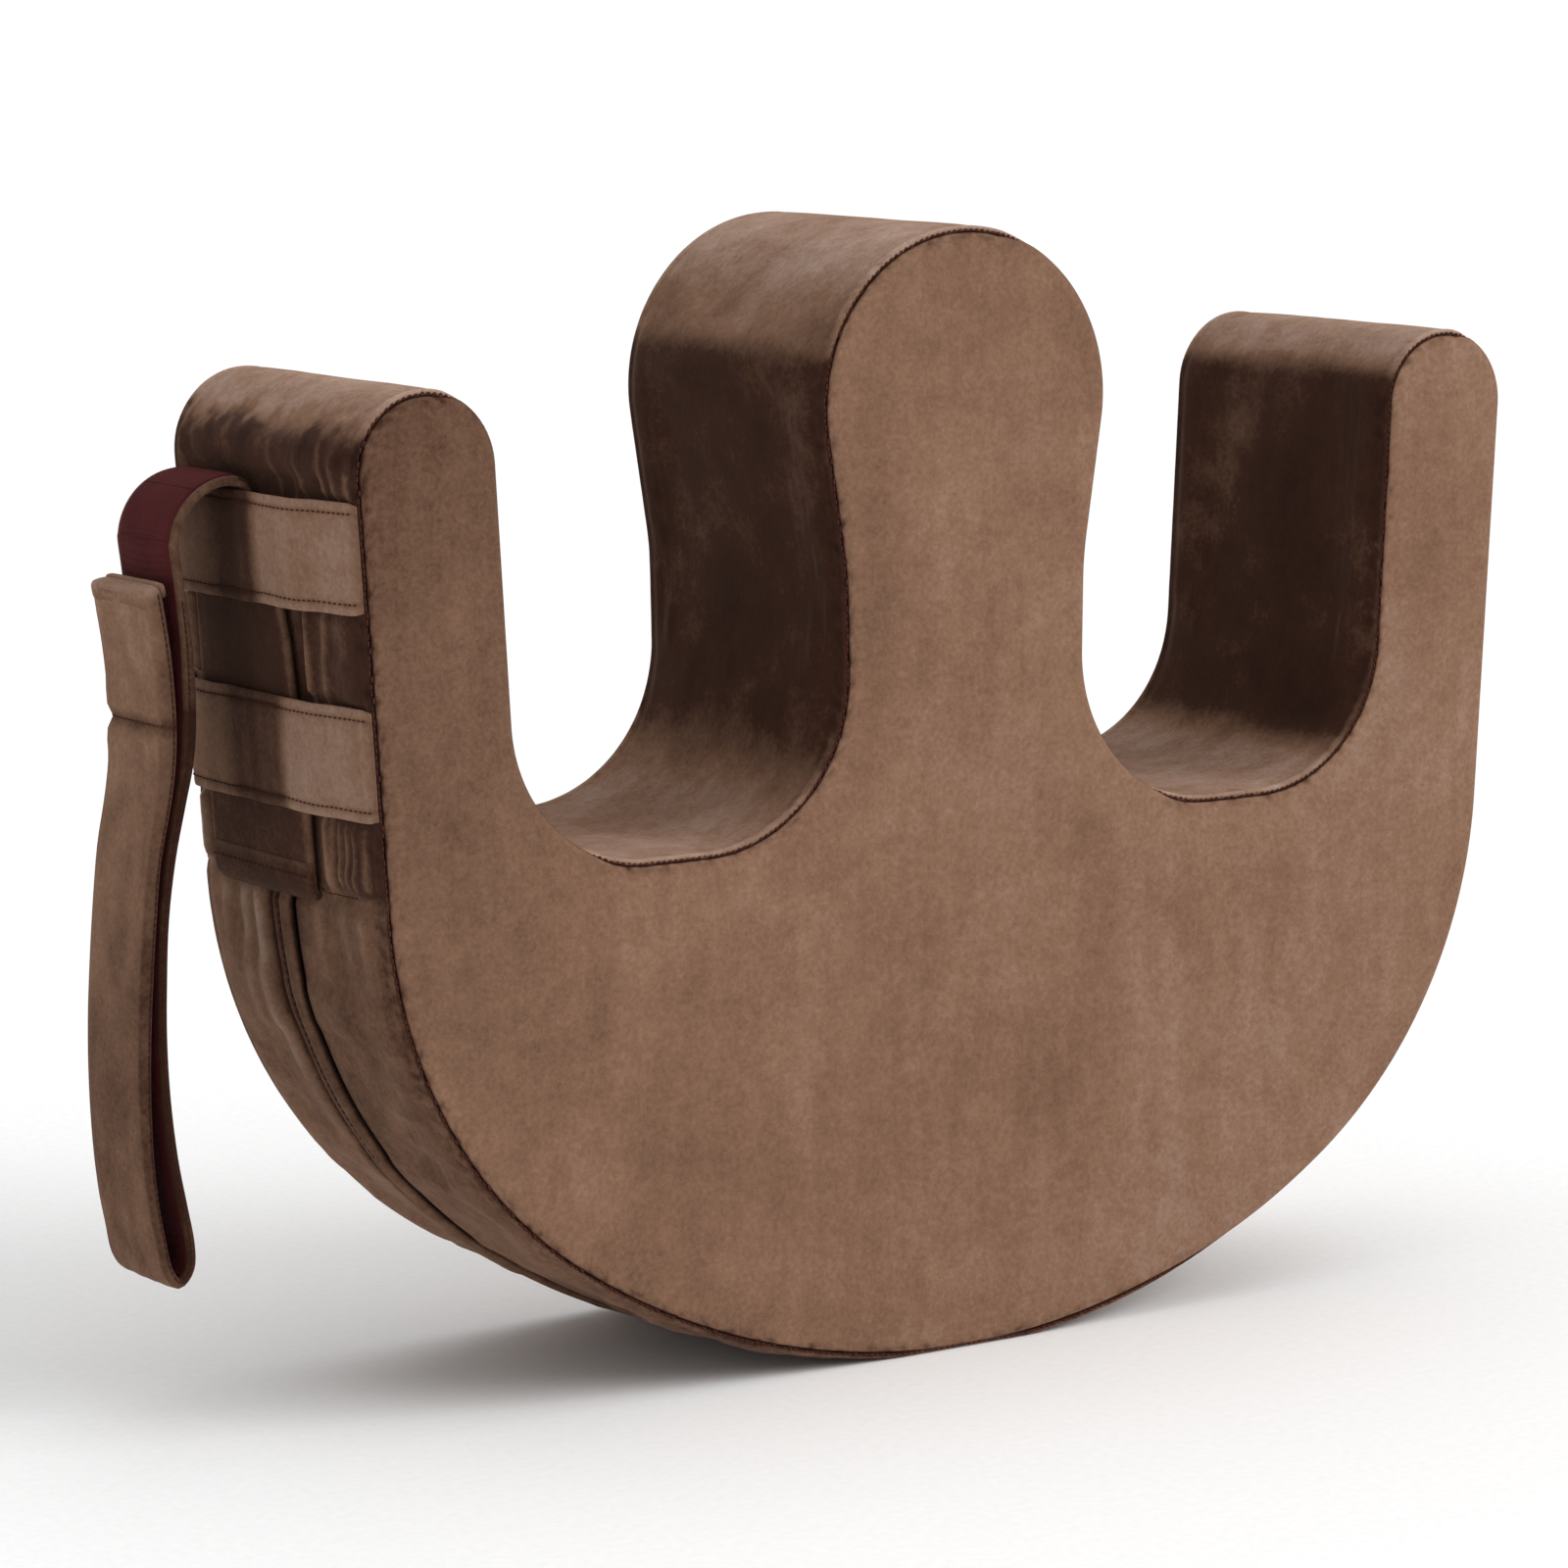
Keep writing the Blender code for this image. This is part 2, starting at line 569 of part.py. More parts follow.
inner_x, inner_h = x_on_loop(BAR_Z, 0)
outer_x, outer_h = x_on_loop(BAR_Z, 1)
bar_a = outer_x + outer_h + GAP
bar_b = inner_x - inner_h - GAP
prism("handle_stitch_bar", [(bar_a, BAR_Z - 0.0012), (bar_b, BAR_Z - 0.0012),
                            (bar_b, BAR_Z + 0.0012), (bar_a, BAR_Z + 0.0012)],
      HANDLE_Y[0] + 0.002, HANDLE_Y[1] - 0.002, material("stitch_bar_thread", THREAD))
rim = loop_pts[-1]
rim_dir = loop_dir[-1]
rim_pts = [(rim[0] + rim_dir[0] * GAP, rim[1] + rim_dir[1] * GAP),
           (rim[0] + rim_dir[0] * 0.0016, rim[1] + rim_dir[1] * 0.0016)]
prism("handle_end_cap", ribbon(rim_pts, [rim_dir, rim_dir], -0.0034, 0.0034),
      HANDLE_Y[0], HANDLE_Y[1], material("end_cap_velvet", BROWN_LIGHT))

# ---------------------------------------------------------------- origins on the joint axes
def set_origin(names, place):
    for name in names:
        ob = bpy.data.objects[name]
        shift = Vector(place) - ob.location
        ob.data.transform(Matrix.Translation(-shift))
        ob.location = Vector(place)


ROCKER_AXIS = (CENTRE_X, ZIP_Y, BOTTOM_R - FLAT)
set_origin(["zip_slider", "zip_pull_tab"], ROCKER_AXIS)


def hinge_place(psi):
    c, r = (CA, BEND_A) if psi <= math.pi / 2.0 else (CB, BEND_B)
    reach = r + STRAP_HALF
    return (CENTRE_X + c[0] + reach * math.cos(psi), 0.5 * (HANDLE_Y[0] + HANDLE_Y[1]),
            c[1] + reach * math.sin(psi) - FLAT)


set_origin(["link_1_lining", "link_1_velvet"], hinge_place(HINGES[0]))
set_origin(["link_2_lining", "link_2_velvet"], hinge_place(HINGES[1]))
set_origin(["handle_lining", "handle_padding", "handle_velvet", "handle_stitch_bar",
            "handle_end_cap"], hinge_place(HINGES[2]))

for ob in parts.objects:
    ob.select_set(False)
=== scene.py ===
"""Looks for the three-prong turning cushion: velvet cover, keeper loops, padded strap, zip and studio.

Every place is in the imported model's frame, in metres: +Z up, front face towards -Y, handle at -X.
"""
import bpy
import math
import numpy as np
from mathutils import Matrix, Vector, noise
from mathutils.geometry import delaunay_2d_cdt


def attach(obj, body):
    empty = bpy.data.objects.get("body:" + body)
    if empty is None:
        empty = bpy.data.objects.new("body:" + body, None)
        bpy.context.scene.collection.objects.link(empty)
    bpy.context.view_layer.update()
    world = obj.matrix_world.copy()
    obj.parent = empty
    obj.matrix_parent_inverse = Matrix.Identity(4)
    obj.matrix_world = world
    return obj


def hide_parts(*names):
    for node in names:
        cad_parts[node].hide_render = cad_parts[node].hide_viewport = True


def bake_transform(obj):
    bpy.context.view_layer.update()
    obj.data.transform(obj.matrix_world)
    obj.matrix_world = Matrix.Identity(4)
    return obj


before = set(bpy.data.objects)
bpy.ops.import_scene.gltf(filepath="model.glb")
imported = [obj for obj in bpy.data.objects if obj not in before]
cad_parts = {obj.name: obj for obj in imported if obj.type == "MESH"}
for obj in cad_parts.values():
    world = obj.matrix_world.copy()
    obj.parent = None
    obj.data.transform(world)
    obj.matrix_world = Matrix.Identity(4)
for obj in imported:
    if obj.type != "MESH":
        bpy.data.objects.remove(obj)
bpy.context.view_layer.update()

# ---- driving sizes, as in the CAD source
HALF = 0.077
CENTRE_X = 0.029687
BOTTOM_R = 0.352
BOTTOM_HALF = 0.60
SIDE_R = 0.208
# circles of the outline's right half: x, z and radius, which is negative where the outline is hollow
TIP = (0.2670, 0.4015, 0.033)
SLOT_OUTER = (0.1625, 0.2985, -0.0655)
SLOT_INNER = (0.1330, 0.3030, -0.0700)
WAIST = (0.2105, 0.3325, -0.1470)
HEAD = (0.0, 0.4165, 0.0740)
CROSS_SEAM_Z = 0.2270
FLAT = BOTTOM_R * (1.0 - math.cos(BOTTOM_HALF / 7.0))     # how much the rocker's lowest part is flattened
HANDLE_Y = (0.005, 0.055)
STRAP_HALF = 0.0023
ZIP_Y = 0.0070
FLAP_END = math.radians(27.6)
ZIP_END = math.radians(34.3)
STAND = 0.0003 + STRAP_HALF
BEND_A = 0.009
BEND_B = 0.027
EXIT_Z = 0.386
HINGES = [math.radians(a) for a in (47.0, 105.0, 145.0)]
STITCH_Z = 0.2950

FLOOR = 0.0002           # lowest the cover goes, just clear of the floor
KEEPERS = [(0.345, 0.391), (0.260, 0.307)]     # lower and upper edge of each keeper loop
TAU = 2.0 * math.pi
BAND_STEP = 0.0031       # spacing of the band's rows and of the face's edge points
FACE_STEP = 0.0062       # spacing of the points inside the face
SIM_STEP = 0.0062        # spacing of the coarse cover that is simulated
SIM_FRAMES = 20
SIM_PRESSURE = 4.0
BAND_CAP = 0.0022        # most that the simulation may move the band
FACE_CAP = 0.0016        # and the faces


def smooth(t):
    """0 to 1 in a soft step as t goes from 0 to 1."""
    t = min(1.0, max(0.0, t))
    return t * t * (3.0 - 2.0 * t)


def ridge(x, centre, width):
    """Bell curve, 1 at the centre."""
    return math.exp(-((x - centre) / width) ** 2)


def window(x, low, rise, high, fall):
    """1 between low and high, reached over rise and left over fall, both inside."""
    return smooth((x - low) / rise) * smooth((high - x) / fall)


def wobble(x, y=0.0, z=0.0):
    """Smooth noise between -1 and 1, the same on every run."""
    return noise.noise(Vector((x, y, z)))


# ---- the outline, by arc length
def outline_runs():
    """Arcs and straight runs of the right half, bottom centre to the head's top."""
    side = ((BOTTOM_R - SIDE_R) * math.sin(BOTTOM_HALF),
            BOTTOM_R - (BOTTOM_R - SIDE_R) * math.cos(BOTTOM_HALF), SIDE_R)
    circles = [(0.0, BOTTOM_R, BOTTOM_R), side, TIP, SLOT_OUTER, SLOT_INNER, WAIST, HEAD]
    turns = [0.0]
    for (x0, z0, r0), (x1, z1, r1) in zip(circles[:-1], circles[1:]):
        lean = max(-1.0, min(1.0, (r0 - r1) / math.hypot(x1 - x0, z1 - z0)))
        turns.append(math.atan2(z1 - z0, x1 - x0) + math.asin(lean))
    turns.append(math.pi)
    runs = []
    for k, (cx, cz, r) in enumerate(circles):
        a, b = turns[k], turns[k + 1]
        swing = (b - a) % TAU if r > 0.0 else -((a - b) % TAU)
        runs.append((abs(r * swing), (cx, cz, r, a, swing)))
        if k + 1 < len(circles):
            nx, nz, nr = circles[k + 1]
            start = (cx + r * math.sin(b), cz - r * math.cos(b))
            end = (nx + nr * math.sin(b), nz - nr * math.cos(b))
            runs.append((math.dist(start, end), (start, end, b)))
    return runs


RUNS = outline_runs()
HALF_LENGTH = sum(run[0] for run in RUNS)
LOOP = 2.0 * HALF_LENGTH


def station(s):
    """Point (x, z) and outward normal (nx, nz) of the body's outline at arc length s, before flattening."""
    s = s % LOOP
    if s > HALF_LENGTH:
        x, z, nx, nz = station(LOOP - s - 1e-12)
        return -x, z, -nx, nz
    k = 0
    while k < len(RUNS) - 1 and s > RUNS[k][0]:
        s -= RUNS[k][0]
        k += 1
    length, run = RUNS[k]
    f = s / length if length > 0.0 else 0.0
    if len(run) == 5:
        cx, cz, r, a, swing = run
        t = a + swing * f
        return cx + r * math.sin(t), cz - r * math.cos(t), math.sin(t), -math.cos(t)
    (x0, z0), (x1, z1), t = run
    return x0 + (x1 - x0) * f, z0 + (z1 - z0) * f, math.sin(t), -math.cos(t)


def length_at(z, low, high):
    """Arc length between low and high where the right side reaches height z."""
    for _ in range(50):
        mid = 0.5 * (low + high)
        if station(mid)[1] < z:
            low = mid
        else:
            high = mid
    return low


SEAM_S = length_at(CROSS_SEAM_Z, BOTTOM_R * BOTTOM_HALF, BOTTOM_R * BOTTOM_HALF + 0.2)
LEFT_SEAM_S = LOOP - SEAM_S
TIP_S = sum(run[0] for run in RUNS[:4]) + 0.5 * RUNS[4][0]


def on_left_wall(s):
    """True on the outer left side, from the bottom up to the top of the left prong."""
    return LOOP - (s % LOOP) < TIP_S


def to_frame(x, y, z):
    """Frame point of a place on the body's outline axes."""
    return (x + CENTRE_X, y, z - FLAT)


def place(s, y, out):
    """Frame point on the band at arc length s and depth y, out from the outline, kept off the floor."""
    x, z, nx, nz = station(s)
    x, z = x + nx * out, max(z, FLAT) + nz * out
    return (x + CENTRE_X, y, max(z - FLAT, FLOOR))


def spread(a, b, step):
    """Even places from a to b, about a step apart."""
    n = max(2, int(round(abs(b - a) / step)))
    return [a + (b - a) * i / n for i in range(n + 1)]


# ---- mesh helpers
def make(name, verts, faces, material, body="cushion", slot=None, nap_and_shade=None):
    """A smooth-shaded piece, kept above the floor, that rides on a body; the level given for each point is
    the pile's lightness together with painted light and shade.
    """
    mesh = bpy.data.meshes.new(name)
    mesh.from_pydata([(v[0], v[1], max(v[2], 0.5 * FLOOR)) for v in verts], [], faces)
    mesh.validate()
    mesh.polygons.foreach_set("use_smooth", [True] * len(mesh.polygons))
    values = [0.5] * len(mesh.vertices) if nap_and_shade is None else nap_and_shade
    layer = mesh.attributes.new("nap_and_shade", 'FLOAT', 'POINT')
    layer.data.foreach_set("value", np.array(values, np.float32))
    mesh.materials.append(material)
    mesh.update()
    ob = bpy.data.objects.new(name, mesh)
    bpy.context.scene.collection.objects.link(ob)
    if body:
        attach(ob, body)
    return ob


def grid_faces(rows, cols, around=False, along=False, flip=False):
    """Quads of a grid of rows x cols; around closes each row, along joins the last row to the first."""
    faces = []
    for i in range(rows if along else rows - 1):
        for j in range(cols if around else cols - 1):
            a, b = i * cols + j, i * cols + (j + 1) % cols
            c, d = ((i + 1) % rows) * cols + (j + 1) % cols, ((i + 1) % rows) * cols + j
            faces.append((b, c, d, a) if flip else (a, d, c, b))
    return faces


def rounded(count, across, up):
    """Points (across, up) round a shape 2 x 2 in size; the lower the two powers, the squarer it is."""
    out = []
    for k in range(count):
        c, s = math.cos(TAU * k / count), math.sin(TAU * k / count)
        out.append((math.copysign(abs(c) ** across, c), math.copysign(abs(s) ** up, s)))
    return out


def loft(name, rings, material, nap_and_shade=None, caps=(True, True), **more):
    """Skin over a run of rings, with a flat cap at each end that asks for one."""
    cols = len(rings[0])
    verts = [p for ring in rings for p in ring]
    faces = grid_faces(len(rings), cols, around=True)
    if caps[0]:
        faces.append(tuple(range(cols)))
    if caps[1]:
        faces.append(tuple(reversed(range(len(verts) - cols, len(verts)))))
    return make(name, verts, faces, material, nap_and_shade=nap_and_shade, **more)


def resample(points, pitch):
    """Evenly spaced (point, direction, span number, share of span) along a line of points."""
    pts = [Vector(p) for p in points]
    reach = [0.0]
    for a, b in zip(pts[:-1], pts[1:]):
        reach.append(reach[-1] + (b - a).length)
    n = max(1, int(reach[-1] / pitch))
    out, k = [], 0
    for i in range(n):
        s = reach[-1] * (i + 0.5) / n
        while reach[k + 1] < s and k < len(pts) - 2:
            k += 1
        f = (s - reach[k]) / max(1e-9, reach[k + 1] - reach[k])
        out.append((pts[k].lerp(pts[k + 1], f), (pts[k + 1] - pts[k]).normalized(), k, f))
    return out


def stitches(name, points, normals, pitch=0.0034, size=0.0022, thick=0.00035, body="cushion", stray=0.0):
    """A row of thread stitches along a line, with one normal for each point or one for them all."""
    if isinstance(normals, tuple):
        normals = [normals] * len(points)
    # along, out and thickness of one stitch, an arch that dives into the cloth
    shape = [(0.0, -0.9, 0.35), (0.16, 0.5, 0.85), (0.5, 1.0, 1.0), (0.84, 0.5, 0.85), (1.0, -0.9, 0.35)]
    sides = 5
    verts, faces = [], []
    for n, (p, d, k, f) in enumerate(resample(points, pitch)):
        up = Vector(normals[k]).lerp(Vector(normals[k + 1]), f).normalized()
        side = d.cross(up).normalized()
        p = p + side * stray * wobble(n * 0.73, 3.1)
        base = len(verts)
        for t, lift, wide in shape:
            centre = p + d * size * (t - 0.5) + up * thick * lift
            for j in range(sides):
                a = TAU * j / sides
                verts.append(centre + (side * math.cos(a) + up * math.sin(a)) * thick * wide)
        faces += [tuple(base + v for v in quad) for quad in grid_faces(len(shape), sides, around=True)]
        faces.append(tuple(base + j for j in range(sides)))
        faces.append(tuple(base + (len(shape) - 1) * sides + j for j in reversed(range(sides))))
    return make(name, verts, faces, THREAD, body=body, slot="thread")


# ---- materials
class Shader:
    """Small helper that adds nodes to a material and links them by name."""

    def __init__(self, name):
        self.material = bpy.data.materials.new(name)
        self.material.use_nodes = True
        self.tree = self.material.node_tree
        self.bsdf = self.tree.nodes["Principled BSDF"]

    def node(self, kind, settings=(), **inputs):
        node = self.tree.nodes.new(kind)
        for key, value in dict(settings).items():
            setattr(node, key, value)
        for key, value in inputs.items():
            self.put(node.inputs[key.replace("_", " ")], value)
        return node

    def put(self, socket, value):
        if isinstance(value, bpy.types.NodeSocket):
            self.tree.links.new(value, socket)
        else:
            socket.default_value = value

    def maths(self, how, a, b=0.0, c=0.0):
        node = self.node("ShaderNodeMath", {"operation": how})
        for socket, value in zip(node.inputs, (a, b, c)):
            self.put(socket, value)
        return node.outputs[0]

    def noise(self, vector, scale, detail=2.0, rough=0.5):
        node = self.node("ShaderNodeTexNoise", Vector=vector, Scale=scale, Detail=detail, Roughness=rough)
        return node.outputs["Fac"]

    def coords(self, stretch=(1.0, 1.0, 1.0), turn=(0.0, 0.0, 0.0)):
        base = self.node("ShaderNodeTexCoord").outputs["Object"]
        return self.node("ShaderNodeMapping", Vector=base, Scale=stretch, Rotation=turn).outputs["Vector"]

    def ramp(self, factor, stops):
        node = self.node("ShaderNodeValToRGB", Fac=factor)
        ramp = node.color_ramp
        while len(ramp.elements) < len(stops):
            ramp.elements.new(0.5)
        for element, (where, colour) in zip(ramp.elements, stops):
            element.position = where
            element.color = (*colour, 1.0)
        return node.outputs["Color"]

    def bump(self, height, strength, distance):
        node = self.node("ShaderNodeBump", Height=height, Strength=strength, Distance=distance)
        self.put(self.bsdf.inputs["Normal"], node.outputs["Normal"])

    def gloss(self, **values):
        for key, value in values.items():
            self.put(self.bsdf.inputs[key.replace("_", " ")], value)


# velvet colours by level: the low end serves as painted shade on walls, in creases and grooves, the high end
# as painted light on up-facing tops
VELVET_STOPS = [(0.0, (0.016, 0.0062, 0.0042)), (0.22, (0.052, 0.0225, 0.0140)),
                (0.5, (0.226, 0.126, 0.080)), (0.72, (0.355, 0.240, 0.186)), (1.0, (0.52, 0.40, 0.33))]


def velvet(name, mottle=0.16, streak=0.07, streak_turn=(0.0, 0.0, 0.0), sheen=0.35):
    """Short crushed pile: a per-point level sets its lightness and carries painted light and shade besides
    the pile's own tone; noise adds patches, brushing and pile.
    """
    sh = Shader(name)
    flat = sh.coords()
    patches = sh.noise(flat, 13.0, 4.0, 0.62)
    crush = sh.noise(flat, 85.0, 6.0, 0.72)
    pile = sh.noise(flat, 430.0, 3.0, 0.75)
    brush = sh.noise(sh.coords((75.0, 75.0, 6.5), streak_turn), 1.0, 4.0, 0.6)
    nap_and_shade = sh.node("ShaderNodeAttribute", {"attribute_name": "nap_and_shade"}).outputs["Fac"]
    change = 0.0
    for source, weight in ((patches, mottle), (crush, 0.9 * mottle), (pile, 0.14), (brush, streak)):
        change = sh.maths('MULTIPLY_ADD', sh.maths('SUBTRACT', source, 0.5), weight * 2.0, change)
    level = sh.maths('MULTIPLY_ADD', change, sh.maths('MULTIPLY_ADD', nap_and_shade, 1.5, 0.30), nap_and_shade)
    sh.gloss(Base_Color=sh.ramp(level, VELVET_STOPS), Roughness=0.92, Sheen_Weight=sheen,
             Sheen_Roughness=0.40, Sheen_Tint=(0.80, 0.54, 0.42, 1.0), Specular_IOR_Level=0.05)
    height = sh.maths('MULTIPLY_ADD', crush, 0.55, sh.maths('MULTIPLY', pile, 0.5))
    sh.bump(height, 0.45, 0.0012)
    return sh.material


def woven(name, low, high, threads, sheen=0.1, rough=0.75, speck=0.0):
    """Plain cloth: crossed threads, a slow colour drift and a little lint."""
    sh = Shader(name)
    flat = sh.coords()
    height = None
    for turn in ((0.0, 0.0, 0.0), (0.0, 0.0, math.pi / 2.0), (0.0, math.pi / 2.0, 0.0)):
        wave = sh.node("ShaderNodeTexWave", Vector=sh.coords(turn=turn), Scale=threads,
                       Distortion=0.6, Detail=1.0).outputs["Fac"]
        height = wave if height is None else sh.maths('ADD', height, wave)
    drift = sh.noise(flat, 55.0, 5.0, 0.65)
    lint = sh.noise(flat, 1500.0, 1.0, 0.5)
    level = sh.maths('MULTIPLY_ADD', height, 0.16, sh.maths('MULTIPLY', drift, 0.75))
    level = sh.maths('MULTIPLY_ADD', sh.maths('POWER', lint, 5.0), speck, level)
    sh.gloss(Base_Color=sh.ramp(level, [(0.2, low), (0.8, high)]), Roughness=rough, Sheen_Weight=sheen,
             Sheen_Roughness=0.5, Specular_IOR_Level=0.08)
    sh.bump(height, 0.35, 0.0004)
    return sh.material


def thread_look(name, low, high):
    """Twisted thread or coil between two colours."""
    sh = Shader(name)
    twist = sh.node("ShaderNodeTexWave", Vector=sh.coords(turn=(0.6, 0.4, 0.7)), Scale=900.0,
                    Distortion=1.0).outputs["Fac"]
    fuzz = sh.noise(sh.coords(), 700.0, 3.0)
    sh.gloss(Base_Color=sh.ramp(sh.maths('MULTIPLY_ADD', twist, 0.4, sh.maths('MULTIPLY', fuzz, 0.6)),
                                [(0.2, low), (0.8, high)]), Roughness=0.9, Specular_IOR_Level=0.1)
    sh.bump(twist, 0.4, 0.0001)
    return sh.material


def foam_look(name):
    """Open cells of pale polyurethane foam."""
    sh = Shader(name)
    cells = sh.node("ShaderNodeTexVoronoi", Vector=sh.coords(), Scale=620.0).outputs["Distance"]
    drift = sh.noise(sh.coords(), 30.0, 4.0)
    level = sh.maths('MULTIPLY_ADD', cells, 0.6, sh.maths('MULTIPLY', drift, 0.5))
    sh.gloss(Base_Color=sh.ramp(level, [(0.1, (0.50, 0.42, 0.24)), (0.8, (0.80, 0.74, 0.55))]),
             Roughness=0.95, Specular_IOR_Level=0.1)
    sh.bump(cells, 0.7, 0.0006)
    return sh.material


def metal_look(name):
    """Dark antique brass, brushed and worn brighter in patches."""
    sh = Shader(name)
    scratch = sh.noise(sh.coords((40.0, 900.0, 900.0)), 1.0, 3.0)
    wear = sh.noise(sh.coords(), 420.0, 4.0)
    level = sh.maths('MULTIPLY_ADD', scratch, 0.5, sh.maths('MULTIPLY', wear, 0.5))
    sh.gloss(Base_Color=sh.ramp(level, [(0.3, (0.20, 0.14, 0.08)), (0.7, (0.50, 0.38, 0.24))]),
             Metallic=1.0, Roughness=sh.maths('MULTIPLY_ADD', wear, 0.3, 0.22))
    sh.bump(scratch, 0.15, 0.0001)
    return sh.material


FACE = velvet("face_velvet", mottle=0.10, streak=0.06, streak_turn=(0.0, 0.18, 0.0), sheen=0.12)
BAND = velvet("band_velvet", mottle=0.20, streak=0.05, sheen=0.16)
KEEPER = velvet("keeper_velvet", mottle=0.10, streak=0.03, sheen=0.14)
STRAP = velvet("strap_velvet", mottle=0.15, streak=0.05, sheen=0.14)
LINING = woven("burgundy_lining", (0.034, 0.0050, 0.0058), (0.092, 0.0165, 0.0175), 750.0, sheen=0.0,
               rough=0.85, speck=1.2)
THREAD = thread_look("seam_thread", (0.030, 0.0085, 0.0060), (0.095, 0.032, 0.022))
TAPE = woven("zip_tape", (0.035, 0.020, 0.014), (0.085, 0.052, 0.038), 900.0)
COIL = thread_look("zip_coil", (0.025, 0.014, 0.010), (0.060, 0.036, 0.026))
METAL = metal_look("zip_metal")
FOAM = foam_look("foam")

# ---- how the cover puffs and creases
STRAP_EDGE = (-0.0240, 0.0610)     # front and rear edge of the sewn strap
# pleats above the upper keeper: centre across the band and height
KEEPER_PLEATS = [(-0.071, 0.0017), (-0.063, 0.00136), (-0.053, 0.00187), (-0.036, 0.00102), (-0.014, 0.00085),
                 (0.066, 0.00136)]
# folds beside the sewn strap: centre at z = 0.3, slant, width and height
STRAP_FOLDS = [(-0.0315, 0.05, 0.0017, 0.0020), (-0.0420, -0.06, 0.0020, 0.0012),
               (0.0690, 0.0, 0.0032, 0.0044), (0.0655, 0.0, 0.0010, 0.0010)]
# centres of the small gathers just above the cross seam
SEAM_GATHERS = (-0.068, -0.060, -0.052, -0.045)
# pleats under the cross seam: centre across the band, size, width and how far down they run
LOW_PLEATS = [(-0.062, 0.5, 0.0022, 0.030), (-0.046, 0.5, 0.0034, 0.050), (-0.024, 0.5, 0.0034, 0.060),
              (0.026, 1.3, 0.0036, 0.150), (0.040, 1.0, 0.0034, 0.100), (0.055, 0.8, 0.0030, 0.050)]


def on_strap(s, y):
    """1 where the sewn strap lies on the left wall, 0 away from it."""
    if not on_left_wall(s):
        return 0.0
    z = station(s)[1]
    across = window(y, STRAP_EDGE[0] - 0.006, 0.004, STRAP_EDGE[1] + 0.006, 0.004)
    return window(z, 0.219, 0.006, 0.402, 0.008) * across


def gathers(s, y):
    """Pleats the cover makes beside the strap and where it is drawn in at the seams."""
    if not on_left_wall(s):
        return 0.0009 * ridge(s, SEAM_S + 0.012, 0.012) * wobble(y * 160.0, 5.0)
    out = 0.0
    z = station(s)[1]
    over = window(z, 0.386, 0.006, 0.424, 0.030)
    for centre, height in KEEPER_PLEATS:
        out += height * over * ridge(y, centre - 0.03 * (z - 0.39), 0.0017)
    beside = window(z, 0.222, 0.01, 0.395, 0.01)
    for centre, slant, width, height in STRAP_FOLDS:
        out += height * beside * ridge(y, centre + slant * (z - 0.3), width)
    near = window(z, 0.228, 0.006, 0.262, 0.014)
    for centre in SEAM_GATHERS:
        out += 0.0014 * near * ridge(y, centre, 0.0014)
    down = CROSS_SEAM_Z - z
    for centre, size, width, reach in LOW_PLEATS:
        fade = smooth((down - 0.004) / 0.006) * smooth(1.0 - down / reach)
        out += 0.0018 * size * fade * ridge(y, centre + 0.03 * down, width * (1.0 + 4.0 * down))
    return out


def pressed(s):
    """1 where a keeper holds the cover down, 0 away from both."""
    if not on_left_wall(s):
        return 0.0
    z = station(s)[1]
    return max(window(z, low - 0.004, 0.004, high + 0.004, 0.004) for low, high in KEEPERS)


def puff(s, y):
    """How far the band stands out from the CAD outline, without the simulated part."""
    edge = abs(y) / HALF
    taut = smooth((station(s)[3] - 0.2) / 0.5)
    crown = (1.0 - taut) * 0.0042 * max(0.0, 1.0 - edge * edge) ** 0.8 + taut * 0.0006 * (1.0 - edge ** 6)
    seam_gap = min(abs(s - SEAM_S), abs(s % LOOP - LEFT_SEAM_S))
    crown -= 0.0016 * smooth(1.0 - seam_gap / 0.0055)
    fade = smooth((HALF - 0.0035 - abs(y)) / 0.009)
    ripple = 0.0004 * wobble(s * 32.0, y * 24.0) * fade
    pucker = 0.00025 * wobble(s * 130.0, 2.0 if y > 0 else 9.0) * ridge(abs(y), HALF - 0.008, 0.006)
    out = crown + ripple + pucker + gathers(s, y) * fade
    held = pressed(s)
    out = out * (1.0 - held) + min(out, -0.0001) * held
    under = on_strap(s, y)
    return out * (1.0 - under) + min(out, -0.0005) * under


# the face panel's edge as (inset, depth), and the band's as (depth, out): first where the seam's groove opens
# to the face, then where it is rolled round the corner and can't be seen from the front
PANEL_OPEN = [(0.0020, 0.0021), (0.0021, 0.0015), (0.0023, 0.0009), (0.0026, 0.0005), (0.0031, 0.0002),
              (0.0040, 0.0), (0.0055, -0.0002), (0.0075, -0.00035), (0.0100, -0.0005)]
PANEL_ROLLED = [(0.0020, 0.0025), (0.0011, 0.0025), (0.0005, 0.0020), (0.0003, 0.0013), (0.0006, 0.0006),
                (0.0014, 0.0001), (0.0035, -0.0002), (0.0065, -0.00035), (0.0100, -0.0005)]
BAND_OPEN = [(0.0021, -0.0021), (0.0013, -0.0018), (0.0008, -0.0012), (0.0006, -0.0006), (0.0009, 0.0),
             (0.0016, 0.0004), (0.0027, 0.0005), (0.0041, 0.0002), (0.0060, -0.0001), (0.0085, 0.0)]
BAND_ROLLED = [(0.0024, -0.0021), (0.0025, -0.0016), (0.0027, -0.0011), (0.0030, -0.0006), (0.0034, -0.0002),
               (0.0040, 0.0), (0.0048, 0.0), (0.0056, 0.0), (0.0068, 0.0), (0.0085, 0.0)]
FILL_INSET = PANEL_OPEN[-1][0]


def seam_roll(nx):
    """0 where the face seam's groove opens to the face, 1 on the outline's right-hand sides."""
    return smooth((nx - 0.20) / 0.30)


def between(open_edge, rolled_edge, roll):
    """Edge rows part way from the open shape to the rolled one."""
    return [(a + (c - a) * roll, b + (d - b) * roll) for (a, b), (c, d) in zip(open_edge, rolled_edge)]


